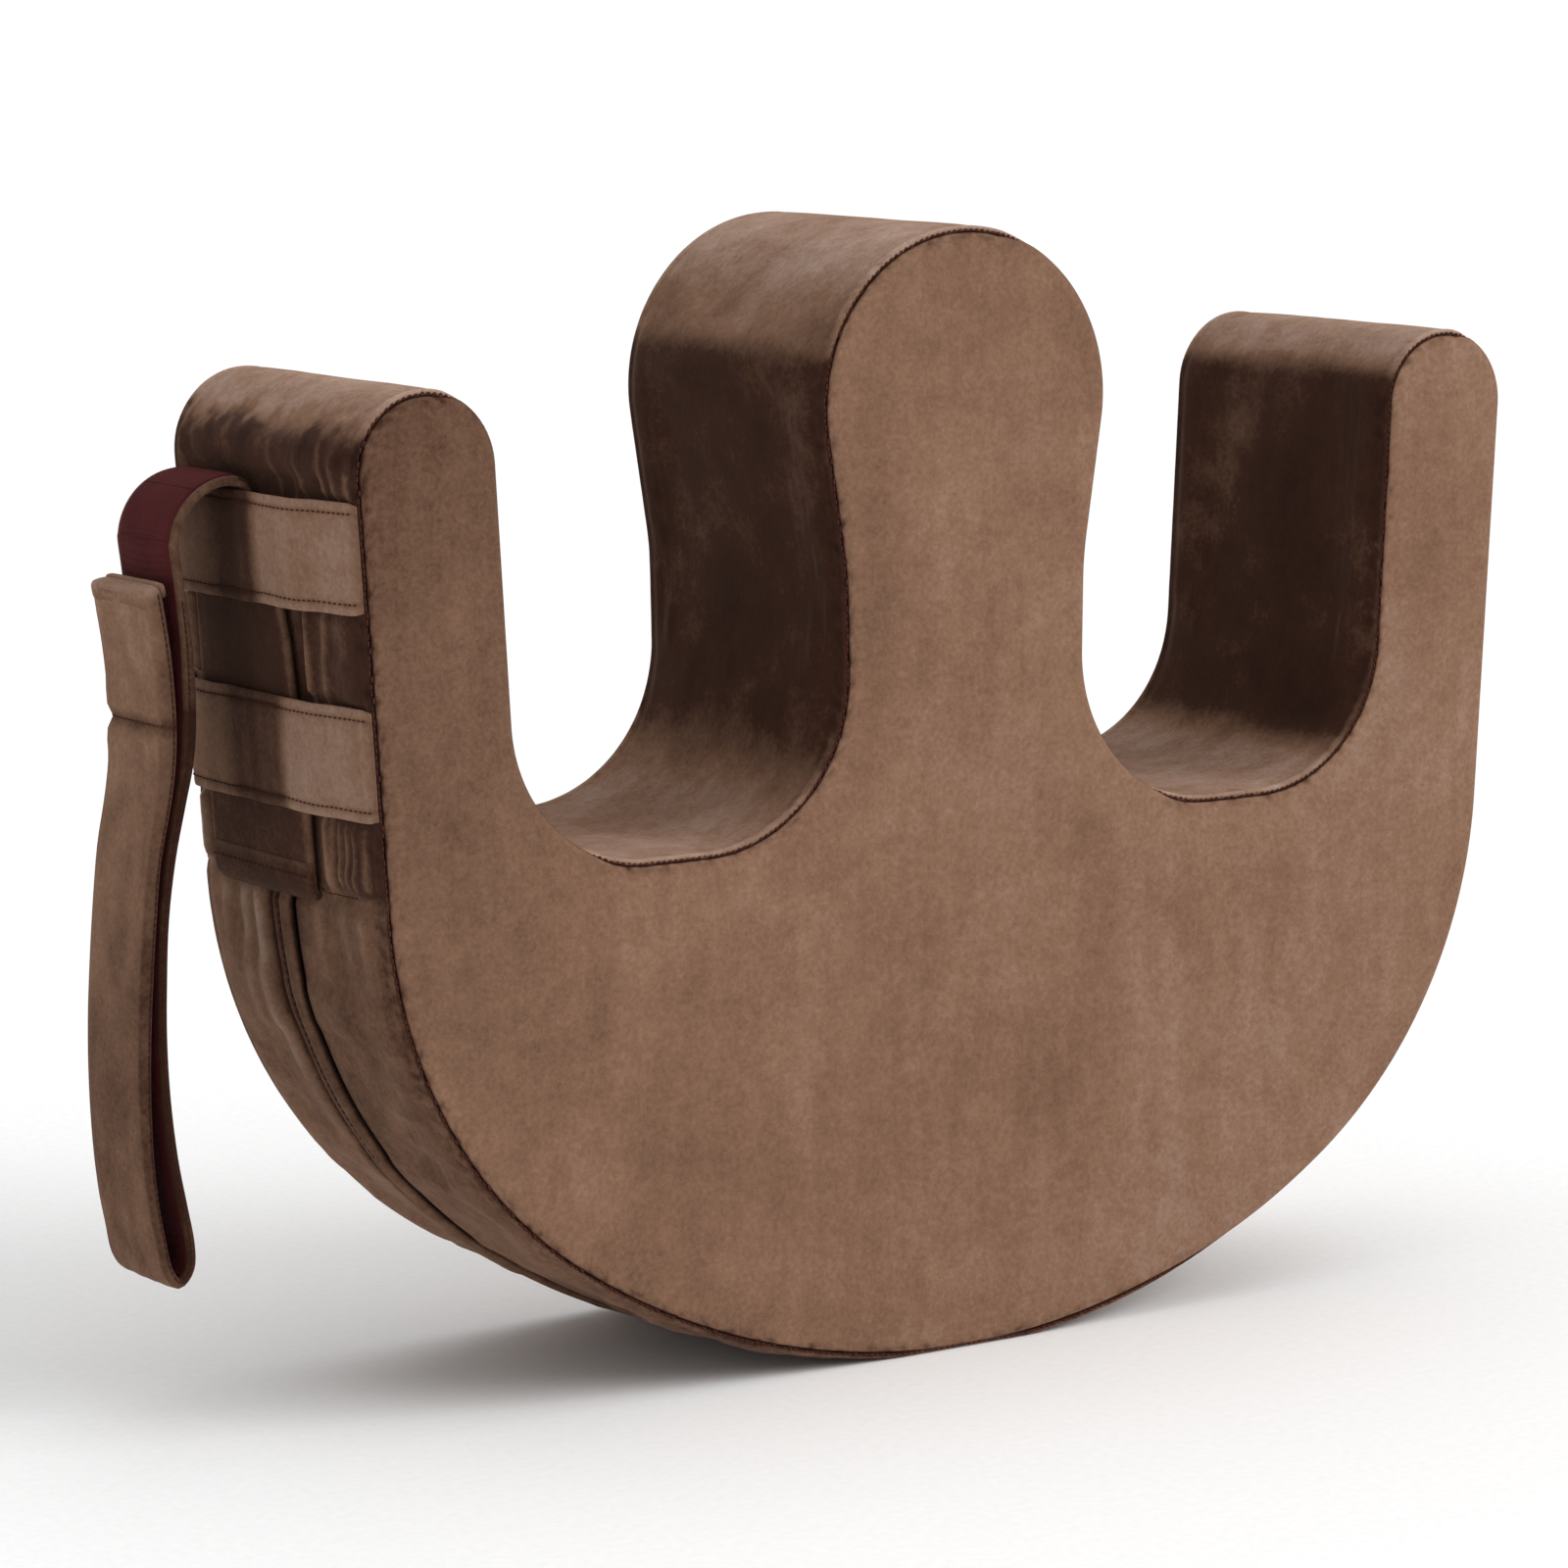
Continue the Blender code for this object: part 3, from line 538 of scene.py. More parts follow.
def outline_table(step):
    """Stations round the whole outline, with their arc lengths."""
    n = int(LOOP / step)
    marks = [LOOP * i / n for i in range(n)]
    return marks, np.array([station(s) for s in marks])


def inside(points, loop):
    """Even-odd test of many points against a closed loop."""
    x, z = points[:, 0:1], points[:, 1:2]
    x0, z0 = loop[:, 0], loop[:, 1]
    x1, z1 = np.roll(x0, -1), np.roll(z0, -1)
    crosses = (z0 > z) != (z1 > z)
    reach = (x1 - x0) * (z - z0) / np.where(z1 == z0, 1e-12, z1 - z0) + x0
    return (np.sum(crosses & (x < reach), axis=1) % 2) == 1


def fill(loop, step):
    """Points inside a closed loop and the triangles that join them; the loop's points come first."""
    low, high = loop.min(axis=0), loop.max(axis=0)
    rows = []
    for i, z in enumerate(np.arange(low[1], high[1], step * 0.866)):
        rows += [(x, z) for x in np.arange(low[0] + (i % 2) * 0.5 * step, high[0], step)]
    inner = np.array(rows)
    inner = inner[inside(inner, loop)]
    gap = np.sqrt(((inner[:, None, :] - loop[None, ::2, :]) ** 2).sum(axis=2)).min(axis=1)
    inner = inner[gap > 0.62 * step]
    points = [Vector(p) for p in np.vstack([loop, inner])]
    found = delaunay_2d_cdt(points, [], [list(range(len(loop)))], 1, 1e-7)
    return np.array([tuple(v) for v in found[0]]), [tuple(f) for f in found[2]]


def close_side(verts, faces, rows, cols, side, spots, triangles):
    """Join a filled loop's triangles and inner spots to the first or last column of a closed grid."""
    index = [i * cols + (0 if side < 0 else cols - 1) for i in range(rows)]
    index += range(len(verts), len(verts) + len(spots))
    verts += spots
    faces += [tuple(index[v] for v in (t if side > 0 else reversed(t))) for t in triangles]


# ---- cloth simulation of the cover
def simulate_cover():
    """Inflate a coarse copy of the whole cover, pinned at the face seams; return how far it moved."""
    marks, table = outline_table(SIM_STEP)
    columns = spread(-HALF + 0.002, HALF - 0.002, SIM_STEP)
    verts = [place(s, y, -0.0012) for s in marks for y in columns]
    faces = grid_faces(len(marks), len(columns), along=True)
    ring = table[:, 0:2] - table[:, 2:4] * 0.0016
    ring[:, 1] = np.maximum(ring[:, 1], FLAT)
    flat_points, triangles = fill(ring, 0.0085)
    inner = flat_points[len(marks):]
    starts = []
    for side in (-1.0, 1.0):
        starts.append(len(verts))
        spots = [to_frame(x, side * (HALF - 0.002), z) for x, z in inner]
        close_side(verts, faces, len(marks), len(columns), side, spots, triangles)
    rest = np.array(verts)
    ob = make("cover_sim", verts, faces, BAND, body=None)
    pins = [i * len(columns) + c for i in range(len(marks)) for c in (0, len(columns) - 1)]
    ob.vertex_groups.new(name="pins").add(pins, 1.0, 'REPLACE')
    cloth = ob.modifiers.new("cloth", 'CLOTH')
    settings = cloth.settings
    settings.quality = 4
    settings.mass = 0.3
    settings.tension_stiffness = settings.compression_stiffness = 12.0
    settings.shear_stiffness = 6.0
    settings.bending_stiffness = 0.25
    settings.air_damping = 2.0
    settings.use_pressure = True
    settings.uniform_pressure_force = SIM_PRESSURE
    settings.vertex_group_mass = "pins"
    settings.shrink_min = -0.012
    settings.effector_weights.gravity = 0.0
    cloth.collision_settings.use_collision = False
    scene = bpy.context.scene
    for step in range(SIM_FRAMES):
        scene.frame_set(step + 1)
    graph = bpy.context.evaluated_depsgraph_get()
    shape = ob.evaluated_get(graph).to_mesh()
    moved = np.array([v.co for v in shape.vertices]) - rest
    bpy.data.objects.remove(ob, do_unlink=True)
    scene.frame_set(1)
    normals = np.repeat(table[:, 2:4], len(columns), axis=0)
    count = len(normals)
    band = (moved[:count, 0] * normals[:, 0] + moved[:count, 2] * normals[:, 1]).reshape(len(marks), -1)
    panels = [(inner, side * moved[k:k + len(inner), 1]) for side, k in zip((-1.0, 1.0), starts)]
    return band, columns, panels


def level_out(values, cap):
    """Keep a simulated movement's wrinkles: take off its mean swell and cap what is left."""
    values = values - np.mean(values)
    return np.clip(values, -cap, cap)


SIM = simulate_cover()
if SIM:
    BAND_FIELD = level_out(SIM[0], BAND_CAP)
    PANEL_FIELD = [(points, level_out(values, FACE_CAP)) for points, values in SIM[2]]


def simulated(s, y):
    """Simulated movement of the band at s and y, read between the coarse cover's points."""
    if not SIM:
        return 0.0
    rows, cols = BAND_FIELD.shape
    u = (s % LOOP) / LOOP * rows
    v = (y - SIM[1][0]) / (SIM[1][-1] - SIM[1][0]) * (cols - 1)
    v = min(max(v, 0.0), cols - 1.001)
    i, j = int(u), int(v)
    f, g = smooth(u - i), smooth(v - j)
    a, b = BAND_FIELD[i % rows], BAND_FIELD[(i + 1) % rows]
    low = a[j] * (1 - g) + a[j + 1] * g
    high = b[j] * (1 - g) + b[j + 1] * g
    fade = smooth((HALF - 0.003 - abs(y)) / 0.010) * (1.0 - on_strap(s, y)) * (1.0 - pressed(s))
    fade *= 1.0 - 0.9 * smooth((station(s)[3] - 0.2) / 0.5)
    if station(s)[1] < CROSS_SEAM_Z:
        fade *= 1.0 - 0.92 * ridge(y, 0.006, 0.024)
    return (low * (1 - f) + high * f) * fade


def simulated_panel(points, side):
    """Simulated movement of a face panel at many points, as a soft average of its neighbours."""
    if not SIM:
        return np.zeros(len(points))
    source, values = PANEL_FIELD[0 if side < 0 else 1]
    out = np.zeros(len(points))
    for k in range(0, len(points), 1500):
        part = points[k:k + 1500]
        weight = np.exp(-((part[:, None, :] - source[None, :, :]) ** 2).sum(axis=2) / 0.0075 ** 2) + 1e-12
        out[k:k + 1500] = (weight * values).sum(axis=1) / weight.sum(axis=1)
    return out


# ---- nap levels
def band_shade_and_nap(s, y):
    """Lightness round the band, mostly painted light and shade: painted light on up-facing tops and
    right-hand walls, painted shade on the walls, a lighter level on the lower band, more so on its rear strip
    and where it turns down; noise, and darker mottled patches where the left wall turns into its top.
    """
    x, z, nx, nz = station(s)
    if z < CROSS_SEAM_Z and nz < 0.35:
        rear = 0.10 * smooth((y - 0.010) / 0.02)
        return 0.32 + rear + 0.07 * smooth(-nz) + 0.05 * wobble(s * 20.0, y * 40.0, 6.0)
    if z < 0.36 and x > 0.0:
        level = 0.19 + 0.38 * smooth((nz - 0.62) / 0.26)
    elif z < 0.36:
        level = 0.20 + 0.35 * smooth((nz - 0.30) / 0.62)
    elif abs(x) < 0.15:
        level = 0.20 + 0.24 * smooth((nz - 0.20) / 0.20) + 0.21 * smooth((nz - 0.45) / 0.45)
    else:
        level = 0.20 + 0.42 * smooth((nz - 0.25) / 0.50)
    if nx > 0.3:
        level += 0.07 * smooth((0.5 - nz) / 0.5)
    if on_left_wall(s):
        turning = ridge(nz, 0.45, 0.30)
        speckle = wobble(s * 75.0, y * 60.0, 2.0) + 0.6 * wobble(s * 190.0, y * 170.0, 3.0)
        level += 0.03 - 0.24 * turning * smooth((speckle + 0.25) / 0.75)
    return level + 0.07 * wobble(s * 14.0, y * 20.0, 4.0) + 0.05 * wobble(s * 45.0, y * 45.0, 9.0)


def seam_tone(s, y):
    """Along the face seams the band gets a painted highlight where it faces up, and ragged painted shade
    along the seam's groove on the walls.
    """
    nz = station(s)[3]
    groove_shade = max(0.0, 0.25 + wobble(s * 260.0, y * 200.0, 7.0)) * ridge(abs(y), HALF - 0.0030, 0.0035)
    return 0.13 * smooth((nz - 0.15) / 0.4) * ridge(abs(y), HALF - 0.0024, 0.0016) - 0.18 * groove_shade * (nz < 0.85)


# places where the face's pile has been stroked darker: centre (x, z), width, height and strength
BRUSHED = [(0.060, 0.440, 0.016, 0.030, 0.06), (-0.045, 0.335, 0.020, 0.030, 0.035),
           (0.010, 0.485, 0.045, 0.012, 0.03), (-0.225, 0.350, 0.030, 0.060, 0.03),
           (0.020, 0.200, 0.060, 0.020, -0.02), (0.150, 0.120, 0.050, 0.040, -0.02)]


def face_shade_and_nap(x, z):
    """Lightness of a face: painted shade darker up its left prong and a painted light gradient lighter to the
    right, over the pile's own patches and brushed marks.
    """
    shaded = 0.115 * smooth((-0.06 - x) / 0.20) * smooth((z - 0.10) / 0.20)
    soft = 0.045 * wobble(x * 7.0, z * 7.0, 1.5) + 0.025 * wobble(x * 26.0, z * 15.0, 5.0)
    for across, high, wide, tall, strong in BRUSHED:
        soft -= strong * ridge(x, across, wide) * ridge(z, high, tall)
    return 0.49 + 0.03 * x / 0.3 - shaded + soft


# ---- cover pieces
def face_panel(name, side, node):
    """One face: rows that follow the seam's edge, then a triangle mesh inside them with a slight crown."""
    marks, table = outline_table(BAND_STEP)
    count = len(marks)
    verts, nap_and_shade = [], []
    edges = [between(PANEL_OPEN, PANEL_ROLLED, seam_roll(row[2])) for row in table]
    for k in range(len(PANEL_OPEN)):
        for s, (x, z, nx, nz), edge in zip(marks, table, edges):
            inset, depth = edge[k]
            ripple = 0.00022 * wobble(s * 190.0, 12.0 * side) * smooth(inset / 0.003)
            px, pz = x - nx * inset, max(z - nz * inset, FLAT + min(inset, 0.003) * 0.6)
            verts.append((px + CENTRE_X, side * (HALF - depth + ripple), max(pz - FLAT, FLOOR)))
            # painted shade: darker where the edge dips into the seam's groove, and a ragged dark strip at the
            # groove's lip where the groove opens to the face
            groove_lip_shade = max(0.0, 0.12 + wobble(s * 420.0, inset * 300.0, side)) * ridge(inset, 0.0030, 0.0022)
            groove_lip_shade *= 1.0 - seam_roll(nx)
            nap_and_shade.append(face_shade_and_nap(px, pz) - 0.36 * smooth((depth - 0.0003) / 0.0010) - 0.34 * groove_lip_shade)
    faces = grid_faces(len(PANEL_OPEN), count, around=True, flip=True)
    ring = np.array([(v[0] - CENTRE_X, v[2] + FLAT) for v in verts[-count:]])
    points, triangles = fill(ring, FACE_STEP)
    inner = points[count:]
    gap = np.sqrt(((inner[:, None, :] - table[None, ::2, 0:2]) ** 2).sum(axis=2))
    near = gap.min(axis=1)
    where = gap.argmin(axis=1) * 2
    lift = simulated_panel(inner, side)
    base = len(verts)
    for (x, z), d, k, sim in zip(inner, near, where, lift):
        crown = 0.0005 + 0.0019 * smooth((d - FILL_INSET) / 0.040)
        ripple = 0.00030 * wobble(marks[k] * 110.0, 12.0 * side) * math.exp(-(d - FILL_INSET) / 0.012)
        slow = 0.0005 * wobble(x * 16.0, z * 16.0, side) * smooth((d - FILL_INSET) / 0.02)
        sim *= smooth((d - FILL_INSET) / 0.012)
        verts.append(to_frame(x, side * (HALF + crown + ripple + slow + sim), z))
        nap_and_shade.append(face_shade_and_nap(x, z))
    start = base - count
    faces += [tuple(start + v for v in t) for t in triangles]
    if side > 0:
        faces = [tuple(reversed(f)) for f in faces]
    ob = make(name, verts, faces, FACE, slot="face_velvet", nap_and_shade=nap_and_shade)
    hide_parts(node)


def cover_out(s, y):
    """How far the finished cover stands out at s and y; where it meets the floor it is pressed in."""
    out = puff(s, y) + simulated(s, y)
    _, z, _, nz = station(s)
    if nz < -0.2:
        out = min(out, (max(z, FLAT) - FLAT - FLOOR) / -nz)
    return out


def band_piece(name, s0, s1, columns, nodes, sway=None):
    """Strip of the side band between two arc lengths; columns run across it, as in seam_columns."""
    verts, nap_and_shade = [], []
    marks = spread(s0, s1, BAND_STEP)
    for s in marks:
        edge = between(BAND_OPEN, BAND_ROLLED, seam_roll(station(s)[2]))
        for y, extra, row in columns:
            if row is not None:
                depth, extra = edge[row]
                y = math.copysign(HALF - depth, y)
            out = cover_out(s, y) + extra + (sway(s, y) if sway else 0.0)
            verts.append(place(s, y, out))
            # painted shade on columns sunk below the cover, painted highlight on the ridges of the pleats,
            # and the seam's painted highlight and shade
            recess_shade = 130.0 * max(-0.003, min(0.0, extra))
            nap_and_shade.append(band_shade_and_nap(s, y) + recess_shade + 125.0 * gathers(s, y) + seam_tone(s, y))
    faces = grid_faces(len(marks), len(columns), flip=True)
    ob = make(name, verts, faces, BAND, slot="band_velvet", nap_and_shade=nap_and_shade)
    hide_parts(*nodes)


def plain(pairs):
    """Band columns (y, how far out of the cover, None) from pairs (y, out)."""
    return [(y, out, None) for y, out in pairs]


def seam_columns():
    """Band columns from front groove to rear groove; an edge column ends in its row of the edge lists."""
    rows = range(len(BAND_OPEN))
    middle = plain((y, 0.0) for y in spread(-HALF + 0.0105, HALF - 0.0105, 0.0018))
    return [(-HALF, 0.0, k) for k in rows] + middle + [(HALF, 0.0, k) for k in reversed(rows)]


def cover():
    """Every piece of the cover, and the foam inside it."""
    face_panel("cover_front_panel", -1.0, "front_panel")
    face_panel("cover_rear_panel", 1.0, "rear_panel")
    columns = seam_columns()
    band_piece("cover_upper_band", SEAM_S, LEFT_SEAM_S, columns, ["upper_band"])
    low0, low1 = LEFT_SEAM_S - LOOP, SEAM_S
    front = [c for c in columns if c[0] < -0.0105]
    front += plain([(-0.0095, -0.0002), (-0.0075, -0.0005), (-0.0058, -0.0010), (-0.0044, -0.0016),
                    (-0.0033, -0.0023), (-0.0025, -0.0032), (-0.0021, -0.0044), (-0.0020, -0.0066)])
    band_piece("lower_front_strip", low0, low1, front, ["lower_band_front"])
    rear = plain([(0.0156, -0.0066), (0.0157, -0.0036), (0.0163, -0.0018), (0.0176, -0.0008),
                  (0.0196, -0.0002)])
    rear += [c for c in columns if c[0] > 0.0215]
    band_piece("lower_rear_strip", low0, low1, rear, ["lower_band_rear"])
    flap()
    end = [(-0.0009, -0.0040), (-0.0007, -0.0020), (0.0, -0.0008), (0.0018, -0.0002)]
    end += [(y, 0.0) for y in spread(0.004, 0.0108, 0.0022)]
    end += [(0.0126, -0.0002), (0.0140, -0.0008), (0.0148, -0.0020), (0.0150, -0.0040)]
    band_piece("zip_end_piece", BOTTOM_R * ZIP_END, low1, plain(end), ["zip_end_strip"])
    backing = plain((y, -0.0052) for y in spread(-0.0098, 0.0150, 0.0031))
    band_piece("zip_head_backing", low0 + 0.001, -BOTTOM_R * ZIP_END + 0.004, backing, ["zip_flap"])
    foam_block()


def flap():
    """Folded cloth over the zip: a rolled edge at the front, turned back underneath."""
    top = [(0.0150, -0.0030), (0.0147, -0.0018), (0.0140, -0.0008), (0.0128, -0.0003), (0.0112, -0.0004),
           (0.0094, -0.0009), (0.0078, -0.0008), (0.0062, 0.0001), (0.0046, 0.0010), (0.0030, 0.0015),
           (0.0014, 0.0016), (0.0001, 0.0012), (-0.0009, 0.0004), (-0.0014, -0.0007), (-0.0012, -0.0018),
           (-0.0002, -0.0026), (0.0040, -0.0031), (0.0110, -0.0033)]
    s0, s1 = LEFT_SEAM_S - LOOP, BOTTOM_R * FLAP_END

    def sway(s, y):
        """The fold wanders a little and lifts in soft waves."""
        return 0.0004 * wobble(s * 15.0, 7.0) * smooth((0.012 - y) / 0.01)

    band_piece("zip_flap_fold", s0, s1, plain(reversed(top)), ["zip_flap"], sway)
    marks = spread(s0 + 0.004, s1 - 0.003, 0.004)
    row = [place(s, 0.0094, cover_out(s, 0.0094) + sway(s, 0.0094) - 0.0007) for s in marks]
    stitches("zip_flap_stitching", row, outward(marks), pitch=0.0036)


def outward(marks):
    """Frame normals of the outline at these arc lengths."""
    return [(station(s)[2], 0.0, station(s)[3]) for s in marks]


FOAM_HALF = 0.0742
FOAM_INSET = 0.0031      # gap between the outline and the foam
CHANNEL_INSET = 0.0076   # and behind the zip


def foam_block():
    """The foam inside the cover, with rounded edges and the channel behind the zip."""
    marks, table = outline_table(0.006)
    columns = [(-FOAM_HALF, 0.0070), (-0.0738, 0.0046), (-0.0722, 0.0034), (-0.0690, FOAM_INSET)]
    columns += [(y, FOAM_INSET) for y in (-0.045, -0.020, -0.0070)]
    columns += [(y, CHANNEL_INSET) for y in (-0.0064, 0.0204)]
    columns += [(y, FOAM_INSET) for y in (0.0210, 0.045)] + [(-y, inset) for y, inset in columns[3::-1]]
    verts = []
    for s, (x, z, nx, nz) in zip(marks, table):
        beyond_zip = min(s, LOOP - s) / BOTTOM_R > ZIP_END
        for y, inset in columns:
            if beyond_zip and inset == CHANNEL_INSET:
                inset = FOAM_INSET
            verts.append((x - nx * inset + CENTRE_X, y, max(z - nz * inset - FLAT, inset)))
    faces = grid_faces(len(marks), len(columns), along=True, flip=True)
    edges = [(-1.0, verts[::len(columns)]), (1.0, verts[len(columns) - 1::len(columns)])]
    for side, edge in edges:
        points, triangles = fill(np.array(edge)[:, 0::2], 0.02)
        spots = [(x, side * FOAM_HALF, z) for x, z in points[len(marks):]]
        close_side(verts, faces, len(marks), len(columns), side, spots, triangles)
    ob = make("foam_block", verts, faces, FOAM, slot="foam")
    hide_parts("foam_core")


def seams():
    """Thread in the four seams: round both faces, and across the band where its two parts meet."""
    for name, side in (("front_seam_stitching", -1.0), ("rear_seam_stitching", 1.0)):
        marks = spread(0.0, LOOP, 0.003)
        rolls = [seam_roll(station(s)[2]) for s in marks]
        row = [place(s, side * (HALF - 0.0012 - 0.0012 * roll), -0.0015 + 0.0003 * wobble(s * 150.0, side))
               for s, roll in zip(marks, rolls)]
        corner = [(nx, side * (1.0 - 0.8 * roll), nz) for (nx, _, nz), roll in zip(outward(marks), rolls)]
        stitches(name, row, corner, pitch=0.0029, size=0.0028, thick=0.00062, stray=0.0011)
    for name, s in (("left_cross_seam", LEFT_SEAM_S), ("right_cross_seam", SEAM_S)):
        marks = spread(-HALF + 0.004, HALF - 0.004, 0.003)
        row = [place(s + 0.0004 * wobble(y * 150.0), y, puff(s, y) + 0.0002) for y in marks]
        stitches(name, row, outward([s])[0], pitch=0.0032, stray=0.0004)


# ---- keeper loops
WALL_S = length_at(0.30, SEAM_S, SEAM_S + 0.12)
WALL = station(WALL_S)
LEAN = math.atan2(-WALL[3], WALL[2])
HEM = 0.80               # where a keeper's hem is stitched, as a share of its half width
LEFTWARDS = (-1.0, 0.0, 0.0)


def wall_x(z):
    """The left wall's x at body height z, on its straight stretch."""
    return -(WALL[0] + (z - WALL[1]) * math.tan(LEAN))


def off_wall(y, h, z):
    """Frame point h off the left wall at body height z."""
    return to_frame(wall_x(z) - h * math.cos(LEAN), y, z - h * math.sin(LEAN))


def keeper(name, z0, z1, rise, node, level, shade, shade_from):
    """Hemmed velvet loop sewn into both face seams, bowed out over the strap."""
    middle, half = 0.5 * (z0 + z1), 0.5 * (z1 - z0)

    def bow(y):
        """How far the loop is lifted by the strap, as a share of the rise."""
        return window(y, -HALF, HALF - 0.024, HALF, HALF - 0.064)

    def lift(y):
        """Height of the loop's middle layer above its sewn ends."""
        return rise * bow(y) + 0.0012 * ridge(y, 0.045, 0.025)

    def belly(y, z, up):
        """The loop's outer side swells between its hems, and waves a little."""
        return 0.0009 * (1.0 - up * up) * bow(y) + 0.0004 * wobble(y * 45.0, z * 60.0, 2.0)

    def drift(y, up):
        """The loop's edges aren't quite straight."""
        return 0.0005 * wobble(y * 60.0, up * 2.0, z0)

    rings, nap_and_shade = [], []
    for y in spread(-HALF + 0.0004, HALF - 0.0004, 0.0022):
        end = smooth((HALF - abs(y)) / 0.006)
        h = 0.0003 + 0.0008 * end + lift(y)
        ring = []
        for thick, up in rounded(36, 0.55, 0.30):
            z = middle + up * half * (0.95 + 0.05 * end) + drift(y, up)
            hem = ridge(abs(up), HEM, 0.06)
            body = 0.0010 - 0.00045 * hem + 0.0002 * smooth((abs(up) - 0.84) / 0.05)
            swell = belly(y, z, up) if thick > 0.0 else 0.0
            ring.append(off_wall(y, h + swell + thick * body * (0.35 + 0.65 * end), z))
            # painted light and shade: the loop's base level stands in for light it catches; painted shade
            # darkens it from the strap's front edge rearwards, less behind y = 0.02, and along its hems and
            # sewn ends
            dark = smooth((y - shade_from) / 0.012) * (1.0 - 0.62 * smooth((y - 0.020) / 0.016))
            streak = 0.04 * wobble(y * 140.0, z * 12.0, 5.0)
            nap_and_shade.append(level + shade * dark + streak - 0.10 * hem - 0.10 * (1.0 - end))
        rings.append(ring)
    ob = loft(name, rings, KEEPER, nap_and_shade=nap_and_shade, slot="keeper_velvet")
    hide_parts(node)
    for tag, up in (("top", HEM), ("bottom", -HEM)):
        row = []
        for y in spread(-HALF + 0.0030, HALF - 0.0030, 0.003):
            z = middle + up * half + drift(y, up)
            row.append(off_wall(y, 0.00175 + lift(y) + belly(y, z, up), z))
        stitches(name + "_" + tag + "_stitching", row, LEFTWARDS, pitch=0.0031)


# ---- the strap and its handle
SIDE_CX = (BOTTOM_R - SIDE_R) * math.sin(BOTTOM_HALF)
SIDE_CZ = BOTTOM_R - (BOTTOM_R - SIDE_R) * math.cos(BOTTOM_HALF)
EXIT = (wall_x(EXIT_Z) - STAND * math.cos(LEAN), EXIT_Z - STAND * math.sin(LEAN))
CA = (EXIT[0] - BEND_A * math.cos(LEAN), EXIT[1] - BEND_A * math.sin(LEAN))
CB = (CA[0], CA[1] + BEND_A - BEND_B)
WALL_BASE_Z = SIDE_CZ - (SIDE_R + STAND) * math.sin(LEAN)
STRAP_END_Z = 0.2225     # where the strap is caught in the cross seam
# where one piece of the bend ends and the next begins: the middle of the first link, and of the second
MID_1 = 0.5 * (HINGES[0] + HINGES[1])
MID_2 = 0.5 * (HINGES[1] + HINGES[2])

# the handle's centre line (x, z) and half thickness, down the inner run, round the loop and up
HANG = [(-0.3356, 0.352, 0.0025), (-0.3329, 0.328, 0.0030), (-0.3322, 0.300, 0.0035),
        (-0.3337, 0.280, 0.0034), (-0.3376, 0.262, 0.0030), (-0.3423, 0.240, 0.0025),
        (-0.3459, 0.215, 0.0023), (-0.3474, 0.190, 0.0023), (-0.3480, 0.165, 0.0023),
        (-0.3470, 0.140, 0.0023), (-0.3443, 0.115, 0.0023), (-0.3405, 0.094, 0.0024),
        (-0.3375, 0.078, 0.0024), (-0.3378, 0.067, 0.0025), (-0.3432, 0.0612, 0.0026),
        (-0.3482, 0.0675, 0.0026), (-0.3508, 0.080, 0.0024), (-0.3535, 0.095, 0.0024),
        (-0.3555, 0.115, 0.0025), (-0.3564, 0.140, 0.0028), (-0.3560, 0.165, 0.0031),
        (-0.3545, 0.190, 0.0032), (-0.3524, 0.215, 0.0032), (-0.3496, 0.240, 0.0032),
        (-0.3450, 0.262, 0.0036), (-0.3424, 0.280, 0.0040), (-0.3420, 0.300, 0.0042),
        (-0.3440, 0.325, 0.0044), (-0.3480, 0.350, 0.0046)]


def bend(psi):
    """Centre line (x, z) of the strap where it turns over the keeper."""
    c, r = (CA, BEND_A) if psi <= math.pi / 2.0 else (CB, BEND_B)
    return (c[0] + r * math.cos(psi), c[1] + r * math.sin(psi))


def curve_through(knots, per_span):
    """Catmull-Rom curve through every knot."""
    rows = np.array(knots, float)
    padded = np.vstack([rows[:1], rows, rows[-1:]])
    out = []
    for i in range(len(rows) - 1):
        p0, p1, p2, p3 = padded[i:i + 4]
        for t in np.arange(per_span) / per_span:
            out.append(0.5 * (2 * p1 + (p2 - p0) * t + (2 * p0 - 5 * p1 + 4 * p2 - p3) * t * t
                              + (3 * p1 - p0 - 3 * p2 + p3) * t ** 3))
    return out + [rows[-1]]


def anchor_edges(z):
    """Front and rear edges of the sewn strap at body height z."""
    front = np.interp(z, [0.190, 0.262, 0.330, 0.362, 0.384], [-0.0240, -0.0240, -0.0170, -0.0090, 0.0050])
    rear = np.interp(z, [0.190, 0.345, 0.384], [0.0610, 0.0600, 0.0550])
    return float(front), float(rear)


def anchor_path():
    """Rows (x, z, half thickness, front edge, rear edge) up the wall to the middle of the first link."""
    rows = []
    for z in spread(STRAP_END_Z, EXIT_Z - 0.002, 0.003):
        rise = (z - SIDE_CZ) / (SIDE_R + STAND)
        curved = -(SIDE_CX + (SIDE_R + STAND) * math.sqrt(max(0.0, 1.0 - rise * rise)))
        straight = wall_x(z) - STAND / math.cos(LEAN)
        tuck = 0.0030 * smooth((STRAP_END_Z + 0.004 - z) / 0.004)
        rows.append(((curved if z < WALL_BASE_Z else straight) + tuck, z, STRAP_HALF, *anchor_edges(z)))
    for psi in spread(LEAN, MID_1, math.radians(7.0)):
        rows.append((*bend(psi), STRAP_HALF, *HANDLE_Y))
    return rows


def handle_path():
    """Rows of the hanging handle, from the middle of the second link to the rim."""
    turns = spread(MID_2, math.pi, math.radians(6.0))
    start = [(*bend(psi), STRAP_HALF) for psi in turns]
    return [(x, z, h, *HANDLE_Y) for x, z, h in curve_through(start + HANG, 4)]


